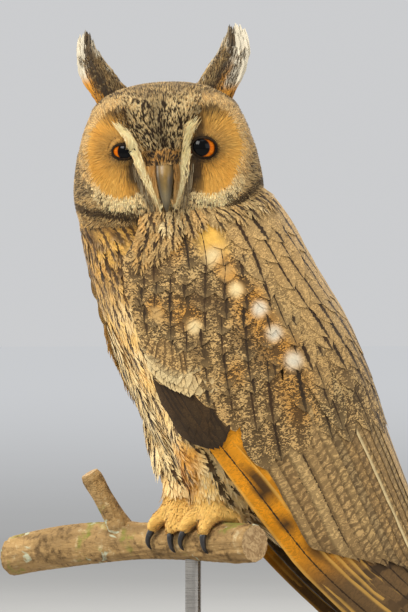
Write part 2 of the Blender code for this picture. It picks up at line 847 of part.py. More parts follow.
def make_tuft(hand, name):
    ends = []
    for shift in TUFT_CORE:
        side, face, height = (Vector(TUFT_BASE) + Vector(shift)) * MM
        ends.append(head_place(hand * side, face, height))
    points = [ends[0].lerp(ends[1], t) for t in (0, 0.4, 0.75, 1)]
    radii = [(wide * MM, deep * MM) for wide, deep in TUFT_CORE_RADII]
    core = loft(tube_rings(points, radii, 10, HEAD_FACE), name, "plumage")
    vanes = [tuft_vane(hand, s, share) for s, share in zip(TUFT_SPREAD, TUFT_LENGTHS)]
    return joined(core, vanes)


# The perch, legs and feet

def branch_place(along):
    """A place on the branch's own line, which sways a little away from the feet."""
    out = along / BRANCH_SPAN
    sway = Vector(BRANCH_SWAY) * MM * out**3 - UP * BRANCH_SAG * out**2
    return BRANCH_AT + BRANCH_ALONG * along + sway


def branch_radius(along):
    waves = BRANCH_WAVES * math.sin(along / BRANCH_WAVE_LENGTH)
    return BRANCH_RADIUS * (1 + waves - BRANCH_TAPER * along)


def make_branch():
    places = np.linspace(BRANCH_FAR, BRANCH_NEAR, 17)
    rings = tube_rings(
        [branch_place(a) for a in places], [branch_radius(a) for a in places], 14
    )
    branch = loft(rings, "perch_branch", "bark")
    foot = branch_place(STUB_FROM)
    high, ahead, outward = STUB_LEAN
    lean = (UP * high + BRANCH_AHEAD * ahead - BRANCH_ALONG * outward).normalized()
    points = [foot + lean * STUB_LENGTH * t for t, _ in STUB_SHAPE]
    radii = [STUB_RADIUS * w for _, w in STUB_SHAPE]
    stub = loft(tube_rings(points, radii, 10, BRANCH_ALONG), "stub", "bark")
    return joined(branch, [stub])


def over_branch(along, angle, out):
    """A place at an angle over the branch, from its top towards the front, and out from its line."""
    a = math.radians(angle)
    middle = BRANCH_AT + BRANCH_ALONG * along
    return middle + (BRANCH_AHEAD * math.sin(a) + UP * math.cos(a)) * out


def toe_line(foot_along, toe, start, end, count, radii):
    side_root, side_tip, first, last = toe
    points = []
    for i in range(count):
        t = start + (end - start) * i / (count - 1)
        side = foot_along + (side_root + (side_tip - side_root) * min(t, 1.25)) * MM
        angle = first + (last - first) * t
        points.append(over_branch(side, angle, BRANCH_RADIUS + radii[i] * 0.93))
    return points


def make_toe(foot_along, toe):
    radii = [TOE_ROOT * 1.15, TOE_ROOT, TOE_ROOT * 0.92, TOE_TIP * 1.12, TOE_TIP * 0.8]
    points = toe_line(foot_along, toe, 0.0, 1.0, 5, radii)
    return loft(tube_rings(points, radii, 8, BRANCH_ALONG), "toe", "leg")


def make_claw(foot_along, toe, name):
    sweep = CLAW_SWEEP / abs(toe[3] - toe[2])
    radii = [CLAW_ROOT, CLAW_ROOT * 0.86, CLAW_ROOT * 0.62, CLAW_TIP]
    outs = [TOE_TIP * 0.78, TOE_TIP * 0.82, TOE_TIP * 0.73, TOE_TIP * 0.48]
    points = toe_line(foot_along, toe, 1.0 - sweep * CLAW_SUNK, 1.0 + sweep, 4, outs)
    return loft(tube_rings(points, radii, 6, BRANCH_ALONG), name, "horn")


def ankle(foot_along, ahead):
    over = BRANCH_AT + BRANCH_ALONG * foot_along + BRANCH_AHEAD * ahead
    return Vector((over.x, over.y, ANKLE_HIGH))


def make_foot(foot_along, ahead, name):
    top = ankle(foot_along, ahead)
    palm = over_branch(foot_along, PALM_ANGLE, BRANCH_RADIUS + PALM_HIGH)
    points = [palm, palm.lerp(top, 0.3), palm.lerp(top, 0.65), top + UP * ANKLE_LAP]
    radii = [TARSUS_RADIUS * w for w in TARSUS_SHAPE]
    tarsus = loft(tube_rings(points, radii, 12, BRANCH_ALONG), name, "leg")
    return joined(tarsus, [make_toe(foot_along, toe) for toe in TOES])


def make_thigh(foot_along, ahead, hand, name):
    hip = body_point(HIP[0], HIP[1], hand * HIP[2])
    foot = ankle(foot_along, ahead) - UP * ANKLE_LAP
    points = [hip.lerp(foot, t) for t, _ in THIGH_RADII]
    radii = [r * MM for _, r in THIGH_RADII]
    return loft(tube_rings(points, radii, 16, TO_BACK), name, "leg")


def make_stand():
    bm = bmesh.new()
    bmesh.ops.create_cone(
        bm, cap_ends=True, segments=44, radius1=BASE_RADIUS, radius2=BASE_RADIUS, depth=BASE_THICK
    )
    bmesh.ops.translate(bm, vec=(0, 0, BASE_THICK / 2), verts=bm.verts)
    rim = [e for e in bm.edges if all(v.co.z > BASE_THICK / 2 for v in e.verts)]
    bmesh.ops.bevel(
        bm, geom=rim, offset=BASE_EDGE, segments=2, profile=0.5, affect="EDGES", material=-1
    )
    object_of(bm, "stand_base", "wood")
    foot_z = BASE_THICK + GAP
    top_z = branch_place(0).z - branch_radius(0) + ROD_LAP
    outline = (
        (foot_z, ROD_COLLAR),
        (foot_z + COLLAR_THICK, ROD_COLLAR * 0.86),
        (foot_z + COLLAR_THICK + 0.4 * MM, ROD_RADIUS),
        (top_z, ROD_RADIUS),
    )
    place = branch_place(0)
    points = [Vector((place.x, place.y, z)) for z, _ in outline]
    return loft(tube_rings(points, [r for _, r in outline], 16, LEFT), "stand_rod", "steel")


def main():
    for old in list(bpy.data.objects):
        bpy.data.objects.remove(old)

    whole = joined(make_head(), [make_collar(), make_trunk()])
    head, neck, torso = [copied(whole, name) for name in ("head", "neck", "torso")]
    for part in (neck, torso):
        part.data.materials[0] = material("breast")
    cut(head, half_space(*HEAD_CUT, above=True), "INTERSECT")
    cut(neck, half_space(*HEAD_CUT, above=False), "INTERSECT")
    cut(neck, half_space(*COLLAR_CUT, above=True), "INTERSECT")
    cut(torso, half_space(*COLLAR_CUT, above=False), "INTERSECT")

    body_knife = swollen(whole, GAP)
    bpy.data.objects.remove(whole)

    for hand, side in ((1, "left"), (-1, "right")):
        joined(head, [make_lid(hand)])
        eye = ball(eye_middle(hand), EYE_RADIUS, f"eye_{side}", "eye", 14)
        cut(head, swollen(eye, GAP))
    head_knife = swollen(head, GAP)

    upper = loft(bill_rings(UPPER_BILL), "bill_upper", "horn")
    for hand in (1, -1):
        side, face, height = NOSTRIL
        place = head_place((BILL_SIDE + hand * side) * MM, face * MM, height * MM)
        cut(upper, ball(place, NOSTRIL_RADIUS * MM, "nostril", "horn", 6))
    cut(upper, head_knife, keep_cutter=True)
    lower = loft(bill_rings(LOWER_BILL), "bill_lower", "horn")
    cut(lower, swollen(upper, GAP))
    cut(lower, head_knife, keep_cutter=True)

    for hand, side in ((1, "left"), (-1, "right")):
        tuft = make_tuft(hand, f"ear_tuft_{side}")
        cut(tuft, head_knife, keep_cutter=True)
    bpy.data.objects.remove(head_knife)

    tail = make_tail()
    cut(tail, body_knife, keep_cutter=True)

    wing = make_wing()
    cut(wing, body_knife, keep_cutter=True)
    mirrored(wing, "wing_right")

    branch = make_branch()
    branch_knife = swollen(branch, GAP)
    feet = zip((1, -1), ("left", "right"), FEET_ALONG, ANKLES_AHEAD)
    for hand, side, at, ahead in feet:
        flat = (Vector((0, 0, ANKLE_HIGH)), 0.0)
        thigh = make_thigh(at, ahead, hand, f"thigh_{side}")
        cut(thigh, half_space(*flat, above=True), "INTERSECT")
        cut(thigh, body_knife, keep_cutter=True)
        foot = make_foot(at, ahead, f"foot_{side}")
        cut(foot, half_space(*flat, above=False), "INTERSECT")
        cut(foot, branch_knife, keep_cutter=True)
        cut(foot, body_knife, keep_cutter=True)
        foot_knife = swollen(foot, GAP)
        for number, toe in enumerate(TOES, 1):
            claw = make_claw(at, toe, f"claw_{side}_{number}")
            cut(claw, foot_knife, keep_cutter=True)
            cut(claw, branch_knife, keep_cutter=True)
        bpy.data.objects.remove(foot_knife)

    rod = make_stand()
    cut(rod, branch_knife, keep_cutter=True)
    for knife in (branch_knife, body_knife):
        bpy.data.objects.remove(knife)
    for node in bpy.data.objects:
        tidied(node)


main()
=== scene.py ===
"""The looks of a life-size long-eared owl on a cut branch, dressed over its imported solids.

Tables of shape are in millimetres and repeat the named sizes of the solids. The body is laid out by
"along", down its leaning axis, "depth", from breast to back, and "side", to the bird's left. The
head has its own frame: side, face and height. Every feather is a thin curved vane laid on the skin.
"""

import math

import bmesh
import bpy
import numpy as np
from mathutils import Matrix, Vector
from mathutils.bvhtree import BVHTree
from mathutils.kdtree import KDTree


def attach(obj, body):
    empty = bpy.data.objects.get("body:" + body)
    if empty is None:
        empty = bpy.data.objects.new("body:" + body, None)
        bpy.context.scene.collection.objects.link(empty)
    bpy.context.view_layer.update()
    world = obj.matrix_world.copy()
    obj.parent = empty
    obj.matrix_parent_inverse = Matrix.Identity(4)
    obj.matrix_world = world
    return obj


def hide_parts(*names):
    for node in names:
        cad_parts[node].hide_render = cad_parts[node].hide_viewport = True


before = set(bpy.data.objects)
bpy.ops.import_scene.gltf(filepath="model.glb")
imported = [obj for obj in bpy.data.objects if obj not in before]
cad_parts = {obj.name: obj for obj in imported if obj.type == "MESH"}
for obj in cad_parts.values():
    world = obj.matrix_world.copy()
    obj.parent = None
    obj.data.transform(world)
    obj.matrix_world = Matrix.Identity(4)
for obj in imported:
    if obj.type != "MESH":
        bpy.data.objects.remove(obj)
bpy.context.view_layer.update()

MM = 0.001
# Each side's sign and name: the bird's left is positive
HANDS = ((1, "left"), (-1, "right"))

# The body's axis and the folded wing's sheet and edges, as in the solids
LEAN = math.radians(27)
AXIS_TOP = np.array((0, -63.6, 328.0))
DOWN_AXIS = np.array((0, math.sin(LEAN), -math.cos(LEAN)))
TO_BACK = np.array((0, math.cos(LEAN), math.sin(LEAN)))
LEFT = np.array((1.0, 0, 0))
UP = np.array((0, 0, 1.0))
ROUNDNESS = 2.25
# (along, depth to the breast, depth to the back, half width)
WING_SHEET = (
    (50, 42, 47, 38),
    (62, 52, 52, 44.5),
    (76, 56, 53, 48),
    (100, 58.5, 53.5, 50.5),
    (125, 59, 55, 51.5),
    (150, 59, 56.5, 50.5),
    (175, 57, 55, 47.5),
    (200, 52, 51.5, 43.5),
    (225, 45, 48.5, 38.5),
    (250, 37, 46, 34),
    (275, 27, 43, 30.5),
    (300, 17, 40, 27.5),
    (330, 10, 35, 23),
    (364, 8, 29, 14),
)
# (along, angle of the lower edge, angle of the upper edge) in degrees
WING_EDGES = (
    (62, -33, 36),
    (70, -39, 48),
    (86, -43, 56),
    (108, -48, 60),
    (130, -50, 64),
    (150, -48, 67),
    (166, -46, 69),
    (194, -42, 74),
    (220, -41, 79),
    (243, -40, 82),
    (273, -30, 83),
    (300, -7, 82),
    (330, 18, 79),
    (350, 36, 76),
    (364, 54, 71),
)
# (along, share) of the primaries' tips
PRIMARY_TIPS = (
    (302, 0.80),
    (321, 0.79),
    (340, 0.76),
    (357, 0.66),
    (361, 0.46),
    (348, 0.29),
    (322, 0.13),
)

# The head's own frame
HEAD_AT = np.array((10, -39.8, 307))
HEAD_TURN = math.radians(72.5)
HEAD_ROLL = math.radians(3)
HEAD_FACE = np.array((math.sin(HEAD_TURN), -math.cos(HEAD_TURN), 0))
LEVEL_SIDE = np.array((math.cos(HEAD_TURN), math.sin(HEAD_TURN), 0))
HEAD_SIDE = LEVEL_SIDE * math.cos(HEAD_ROLL) + UP * math.sin(HEAD_ROLL)
HEAD_UP = UP * math.cos(HEAD_ROLL) - LEVEL_SIDE * math.sin(HEAD_ROLL)
EYE_SIDE = 18.7
EYE_HEIGHT = -1.0
EYE_RADIUS = 8.4
EYE_FRONT = 34.2
# The pale brows from above the eyes down beside the bill, as (height, side): the right one spreads more
BROWS = {
    1: ((-30, 2.6), (-22, 6.6), (-14, 8.7), (-6.5, 9.6), (1.5, 10.8), (9.0, 12.6), (14.5, 16.8), (17, 20)),
    -1: (
        (-30, 2.0), (-26, 3.4), (-18.5, 6.8), (-10.5, 10.2), (-1.5, 13.6), (6.8, 17.2), (13, 22.0), (16, 25)
    ),
}


def linear(r, g, b):
    """A colour by its three everyday values of 0 to 255."""
    return tuple(((v / 255 + 0.055) / 1.055) ** 2.4 if v > 10 else v / 3295 for v in (r, g, b))


# Feather colours
INKS = {
    "buff": linear(217, 168, 82),
    "orange": linear(208, 142, 46),
    "deep_orange": linear(232, 152, 22),
    "yellow": linear(236, 184, 84),
    "cream": linear(236, 211, 156),
    "brow": linear(250, 234, 172),
    "white": linear(228, 217, 192),
    "pale_grey": linear(178, 162, 128),
    "tan": linear(208, 168, 106),
    "sand": linear(188, 156, 102),
    "grey_brown": linear(152, 128, 90),
    "brown": linear(116, 86, 50),
    "dark": linear(60, 42, 21),
    "black": linear(28, 21, 13),
    "dusky": linear(102, 78, 46),
    "smoke": linear(88, 76, 60),
    "toe": linear(234, 188, 102),
}


def ink(colour):
    """A colour by its name, or as it is."""
    return np.array(INKS[colour]) if isinstance(colour, str) else colour


# Places and directions in numbers


def unit(v):
    return v / np.maximum(np.linalg.norm(v, axis=-1, keepdims=True), 1e-9)


def table_at(table, at):
    """The rows of a table at places between its stations, on a curve through them."""
    rows = np.asarray(table, float)
    places = rows[:, 0]
    at = np.clip(at, places[0], places[-1])
    slopes = np.gradient(rows[:, 1:], places, axis=0)
    i = np.clip(np.searchsorted(places, at) - 1, 0, len(places) - 2)
    span = places[i + 1] - places[i]
    t = ((at - places[i]) / span)[..., None]
    span = span[..., None]
    return (
        (2 * t**3 - 3 * t**2 + 1) * rows[i, 1:]
        + (t**3 - 2 * t**2 + t) * span * slopes[i]
        + (3 * t**2 - 2 * t**3) * rows[i + 1, 1:]
        + (t**3 - t**2) * span * slopes[i + 1]
    )


def body_place(along, depth, side):
    return AXIS_TOP + along[..., None] * DOWN_AXIS + depth[..., None] * TO_BACK + side[..., None] * LEFT


def wing_place(along, share, hand):
    """A place on the wing's sheet in millimetres: share runs from its lower edge to its upper."""
    edges = table_at(WING_EDGES, along)
    angle = np.radians(edges[..., 0] + (edges[..., 1] - edges[..., 0]) * share)
    sizes = table_at(WING_SHEET, along)
    c, s = np.cos(angle), np.sin(angle)
    power = 2 / ROUNDNESS
    c, s = np.sign(c) * np.abs(c) ** power, np.sign(s) * np.abs(s) ** power
    depth = np.where(s > 0, sizes[..., 1], sizes[..., 0]) * s
    return body_place(along, depth, hand * sizes[..., 2] * c)


def wing_up(along, share, hand):
    """The outward direction of the wing's sheet."""
    ahead = wing_place(along + 1.5, share, hand) - wing_place(along - 1.5, share, hand)
    over = wing_place(along, share + 0.02, hand) - wing_place(along, share - 0.02, hand)
    return unit(np.cross(ahead, over)) * hand


def head_coordinates(points):
    """Side, face and height of points in the head's frame, in millimetres."""
    away = points / MM - HEAD_AT
    return away @ HEAD_SIDE, away @ HEAD_FACE, away @ HEAD_UP


def head_place(side, face, height):
    side, face, height = np.broadcast_arrays(side, face, height)
    return (
        HEAD_AT
        + side[..., None] * HEAD_SIDE
        + face[..., None] * HEAD_FACE
        + height[..., None] * HEAD_UP
    ) * MM


def waves(points, size, seed):
    """A smooth wandering value of about -1 to 1 over space, of bumps of a size in millimetres."""
    rng = np.random.default_rng(seed)
    total = np.zeros(points.shape[:-1])
    for _ in range(6):
        way = unit(rng.normal(size=3)) * (2 * math.pi / size) * rng.uniform(0.6, 1.5)
        total += np.sin(points / MM @ way + rng.uniform(0, 7))
    return total / 3.0


def ramp(x, low, high):
    t = np.clip((x - low) / (high - low), 0, 1)
    return t * t * (3 - 2 * t)


def blend(a, b, share):
    """From one colour to another by a share for each place."""
    share = np.asarray(share, float)[..., None]
    return ink(a) * (1 - share) + ink(b) * share


def lattice(u, v, seed):
    """A smooth random value of 0 to 1 over two numbers, its bumps about one unit wide."""
    table = np.random.default_rng(seed).uniform(size=(64, 64))
    i, j = np.floor(u).astype(int), np.floor(v).astype(int)
    f, g = ramp(u - i, 0, 1), ramp(v - j, 0, 1)
    low = table[i % 64, j % 64] * (1 - f) + table[(i + 1) % 64, j % 64] * f
    high = table[i % 64, (j + 1) % 64] * (1 - f) + table[(i + 1) % 64, (j + 1) % 64] * f
    return low * (1 - g) + high * g


# Feather templates: (share along, share across, height) of each point, and triangles


def contour_outline(t):
    tip = np.sqrt(np.maximum(0, 1 - ((t - 0.6) / 0.41) ** 2))
    return np.where(t < 0.6, 0.42 + 0.58 * (t / 0.6) ** 0.8, tip)


def flight_outline(t):
    tip = np.sqrt(np.maximum(0, 1 - (np.maximum(t - 0.88, 0) / 0.122) ** 2))
    return np.minimum(0.62 + 1.4 * t, 1.0) * tip


def lance_outline(t):
    tip = np.sqrt(np.maximum(0, 1 - (np.maximum(t - 0.35, 0) / 0.66) ** 2.2))
    return np.where(t < 0.35, 0.5 + 1.43 * t, 1.0) * tip


def vane_template(rows, columns, outline, ragged, seed):
    """A whole vane: a grid whose edges run in and out a little."""
    rng = np.random.default_rng(seed)
    t = 1 - (1 - np.linspace(0, 1, rows)) ** 1.5
    width = np.maximum(outline(t), 0.10)
    c = np.linspace(-1, 1, columns)
    grid_t = np.repeat(t[:, None], columns, 1) + 0.05 * (1 - np.abs(c)[None]) * t[:, None] ** 3
    grid_t = grid_t - 0.03 * t[:, None] ** 3
    grid_c = width[:, None] * c[None]
    edge = np.abs(c)[None] > 0.99
    grid_c = grid_c * np.where(edge, 1 + ragged * rng.uniform(-1, 0.6, (rows, columns)), 1)
    grid_t[-1] += ragged * 0.25 * rng.uniform(-1, 1, columns)
    points = np.stack([grid_t.ravel(), grid_c.ravel(), np.zeros(rows * columns)], 1)
    faces = []
    for j in range(rows - 1):
        for i in range(columns - 1):
            a, b = j * columns + i, j * columns + i + 1
            c2, d = a + columns, b + columns
            faces += [(a, b, d), (a, d, c2)]
    return points, np.array(faces)


def barbed_template(count, reach, outline, ragged, seed):
    """A loose vane: bundles of barbs that part from the shaft and end free along the outline."""
    rng = np.random.default_rng(seed)
    points, faces = [], []
    step = 0.88 / count
    for hand in (-1, 1):
        for i in range(count):
            start = (i + rng.uniform(0.1, 0.5)) * step
            end = min(start + reach * rng.uniform(1 - ragged, 1 + ragged), 1.03)
            wide = float(outline(np.array(min(end, 0.985)))) * rng.uniform(1 - ragged, 1 + 0.4 * ragged)
            wide = max(wide, 0.12) * hand
            fan = step * 1.35
            lift = 0.05 * ((i * 7 + (hand > 0) * 3) % 4)
            rows = (
                (start, 0.0, fan, 0.0),
                (start + 0.45 * (end - start), 0.6 * wide, fan, lift * 0.7),
                (end, wide, fan * 0.45, lift),
            )
            base = len(points)
            for t, c, wide_t, h in rows:
                points += [(t - wide_t / 2, c, h), (t + wide_t / 2, c * 0.96, h)]
            for k in (0, 2):
                a = base + k
                faces += [(a, a + 1, a + 3), (a, a + 3, a + 2)]
    base = len(points)
    tip = ((0.70, -0.16), (0.70, 0.16), (0.88, -0.14), (0.88, 0.14), (1.02, 0.0))
    points += [(t, c, 0.06) for t, c in tip]
    faces += [(base, base + 1, base + 3), (base, base + 3, base + 2), (base + 2, base + 3, base + 4)]
    return np.array(points), np.array(faces)


def blade_template(rows):
    """A single fine barb, widest near its root, that ends in a point."""
    t = np.linspace(0, 1, rows)
    points, faces = [], []
    for j in range(rows - 1):
        wide = 1.0 if j else 0.7
        wide *= 1 - 0.55 * t[j]
        points += [(t[j], -wide, 0), (t[j], wide, 0)]
    points.append((1.0, 0.0, 0.0))
    for j in range(rows - 2):
        a = 2 * j
        faces += [(a, a + 1, a + 3), (a, a + 3, a + 2)]
    a = 2 * (rows - 2)
    faces.append((a, a + 1, a + 2))
    return np.array(points), np.array(faces)


class Coat:
    """Feathers gathered as arrays until they are made one piece."""

    def __init__(self, name, seed):
        self.name = name
        self.rng = np.random.default_rng(seed)
        self.parts = []
        self.count = 0

    def lay(self, templates, spine, up, half, bake, look, hollow, stray=0.0, roll=0.0, start=None):
        """Lays feathers along spines of points (metres), each with outward directions along it.

        Half the width is given for each feather, for all, or as a (least, most) to draw from. All
        roll by the same turn, or stray about it at random. Start, in centimetres, keeps the bars of
        neighbouring feathers in step.
        """
        number, rows = spine.shape[:2]
        if not number:
            return
        half = self.rng.uniform(*half, number) if isinstance(half, tuple) else half
        twist = self.rng.normal(0, stray, number) if stray else roll
        half = np.broadcast_to(np.asarray(half, float) * MM, (number,))
        ahead = np.gradient(spine, axis=1)
        across = unit(np.cross(up, ahead))
        if np.any(twist):
            turn = np.broadcast_to(np.asarray(twist, float), (number,))[:, None, None]
            across = unit(across * np.cos(turn) + up * np.sin(turn))
            up = unit(np.cross(ahead, across))
        length = np.linalg.norm(np.diff(spine, axis=1), axis=-1).sum(1)
        kind = self.rng.integers(0, len(templates), number)
        for k, (points, faces) in enumerate(templates):
            pick = np.nonzero(kind == k)[0]
            if not len(pick):
                continue
            x = np.clip(points[:, 0], 0, 1.06) * (rows - 1)
            i = np.minimum(x.astype(int), rows - 2)
            f = (x - i)[None, :, None]
            place = [a[pick][:, i] * (1 - f) + a[pick][:, i + 1] * f for a in (spine, across, up)]
            wide = half[pick][:, None, None]
            c = points[None, :, 1, None]
            h = points[None, :, 2, None]
            at = place[0] + place[1] * c * wide + place[2] * wide * (h - hollow * c * c)
            n, m = len(pick), len(points)
            offset = self.rng.uniform(0, 40, (n, 1, 2))
            if start is not None:
                offset[:, 0, 1] = start[pick]
            vane = np.stack([(points[:, 1] + 1) / 2, points[:, 0]], 1)
            vane = np.broadcast_to(vane[None], (n, m, 2))
            reach = points[None, :, 0] * length[pick][:, None]
            span = np.stack([points[None, :, 1] * half[pick][:, None], reach], -1)
            part = {
                "at": at.reshape(-1, 3),
                "faces": (faces[None] + (np.arange(n) * m)[:, None, None]).reshape(-1, 3) + self.count,
                "vane": vane.reshape(-1, 2),
                "span": (span * 100 + offset).reshape(-1, 2),
                "OFBake": (bake[pick][:, None] + 0.003 * (vane - 0.5)).reshape(-1, 2),
            }
            for key, value in look.items():
                if callable(value):
                    part[key] = value(at, pick).reshape(n * m, -1)
                    continue
                value = np.asarray(value, float)
                if value.ndim == 1:
                    value = np.broadcast_to(value, (number, len(value)))
                part[key] = np.repeat(value[pick], m, axis=0)
            self.parts.append(part)
            self.count += n * m

    def build(self, material, nodes=()):
        joined = {key: np.concatenate([p[key] for p in self.parts]) for key in self.parts[0]}
        made = mesh_piece(self.name, joined["at"], joined["faces"], material)
        mesh = made.data
        for key in ("vane", "span", "OFBake"):
            layer = mesh.uv_layers.new(name=key)
            layer.data.foreach_set("uv", joined[key][joined["faces"].ravel()].astype(np.float32).ravel())
        mesh.uv_layers["OFBake"].active = True
        for key in ("ground", "mark", "tip"):
            store(mesh, key, "FLOAT_COLOR", "color", joined[key])
        store(mesh, "pattern", "FLOAT_VECTOR", "vector", joined["pattern"])
        hand_over(made, nodes)
        print(self.name, len(joined["faces"]), "triangles")
        return made


def store(mesh, name, kind, field, values):
    values = np.asarray(values, np.float32)
    if kind == "FLOAT_COLOR" and values.shape[1] == 3:
        values = np.concatenate([values, np.ones((len(values), 1), np.float32)], 1)
    layer = mesh.attributes.new(name, kind, "POINT")
    layer.data.foreach_set(field, values.ravel())


def placed(mesh, name, material):
    """A smooth-shaded object of a mesh in one material, put into the scene."""
    mesh.shade_smooth()
    mesh.materials.append(material)
    made = bpy.data.objects.new(name, mesh)
    bpy.context.scene.collection.objects.link(made)
    return made


def mesh_piece(name, places, faces, material):
    mesh = bpy.data.meshes.new(name)
    mesh.vertices.add(len(places))
    mesh.vertices.foreach_set("co", np.asarray(places, np.float32).ravel())
    mesh.loops.add(3 * len(faces))
    mesh.loops.foreach_set("vertex_index", np.asarray(faces, np.int32).ravel())
    mesh.polygons.add(len(faces))
    mesh.polygons.foreach_set("loop_start", np.arange(0, 3 * len(faces), 3, dtype=np.int32))
    mesh.polygons.foreach_set("loop_total", np.full(len(faces), 3, np.int32))
    mesh.update(calc_edges=True)
    return placed(mesh, name, material)


def hand_over(piece, nodes=()):
    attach(piece, "root")
    if nodes:
        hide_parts(*nodes)


def bmesh_piece(bm, name, material):
    """An object from a bmesh, with its faces turned out."""
    bmesh.ops.recalc_face_normals(bm, faces=bm.faces)
    mesh = bpy.data.meshes.new(name)
    bm.to_mesh(mesh)
    bm.free()
    return placed(mesh, name, material)


# Shader effects, each a group that puts out colours, masks or heights


class Wiring:
    """Adds nodes to one shader tree and links them."""

    def __init__(self, tree):
        self.tree = tree

    def add(self, kind, **settings):
        node = self.tree.nodes.new(kind)
        for key, value in settings.items():
            setattr(node, key, value)
        return node

    def put(self, socket, value):
        if isinstance(value, bpy.types.NodeSocket):
            self.tree.links.new(value, socket)
        elif value is not None:
            socket.default_value = value

    def here(self):
        return self.add("ShaderNodeTexCoord").outputs["Object"]

    def told(self, name):
        """What an attribute of the piece says."""
        return self.add("ShaderNodeAttribute", attribute_name=name).outputs

    def split(self, vector):
        node = self.add("ShaderNodeSeparateXYZ")
        self.put(node.inputs[0], vector)
        return node.outputs

    def math(self, how, a, b=None):
        node = self.add("ShaderNodeMath", operation=how)
        for socket, value in zip(node.inputs, (a, b)):
            self.put(socket, value)
        return node.outputs[0]

    def times(self, a, b):
        return self.math("MULTIPLY", a, b)

    def plus(self, a, b):
        return self.math("ADD", a, b)

    def minus(self, a, b):
        return self.math("SUBTRACT", a, b)

    def over(self, a, b):
        return self.math("DIVIDE", a, b)

    def mix(self, share, a, b, how="MIX"):
        node = self.add("ShaderNodeMix", data_type="RGBA", blend_type=how)
        self.put(node.inputs["Factor"], share)
        self.put(node.inputs["A"], a)
        self.put(node.inputs["B"], b)
        return node.outputs["Result"]

    def smooth(self, value, low, high, to_low=0.0, to_high=1.0):
        node = self.add("ShaderNodeMapRange", interpolation_type="SMOOTHSTEP")
        for socket, v in zip(node.inputs, (value, low, high, to_low, to_high)):
            self.put(socket, v)
        return node.outputs[0]

    def noise(self, vector, scale, detail=2.0, rough=0.5, twist=0.0):
        node = self.add("ShaderNodeTexNoise")
        self.put(node.inputs["Vector"], vector)
        self.put(node.inputs["Scale"], scale)
        self.put(node.inputs["Detail"], detail)
        self.put(node.inputs["Roughness"], rough)
        self.put(node.inputs["Distortion"], twist)
        return node.outputs["Fac"]

    def stretched(self, vector, scale):
        node = self.add("ShaderNodeVectorMath", operation="MULTIPLY")
        self.put(node.inputs[0], vector)
        node.inputs[1].default_value = scale
        return node.outputs[0]

    def group(self, made, **values):
        node = self.add("ShaderNodeGroup")
        node.node_tree = made
        for key, value in values.items():
            self.put(node.inputs[key.replace("_", " ")], value)
        return node


def new_group(name, inputs, outputs):
    """A group with inputs by their first values, None for a place, and outputs by their kinds."""
    tree = bpy.data.node_groups.new(name, "ShaderNodeTree")
    for title, value in inputs.items():
        kind = "Vector" if value is None else "Color" if isinstance(value, tuple) else "Float"
        socket = tree.interface.new_socket(name=title, in_out="INPUT", socket_type="NodeSocket" + kind)
        if value is not None:
            socket.default_value = value
    for title, kind in outputs.items():
        tree.interface.new_socket(name=title, in_out="OUTPUT", socket_type="NodeSocket" + kind)
    wires = Wiring(tree)
    return tree, wires, wires.add("NodeGroupInput").outputs, wires.add("NodeGroupOutput").inputs


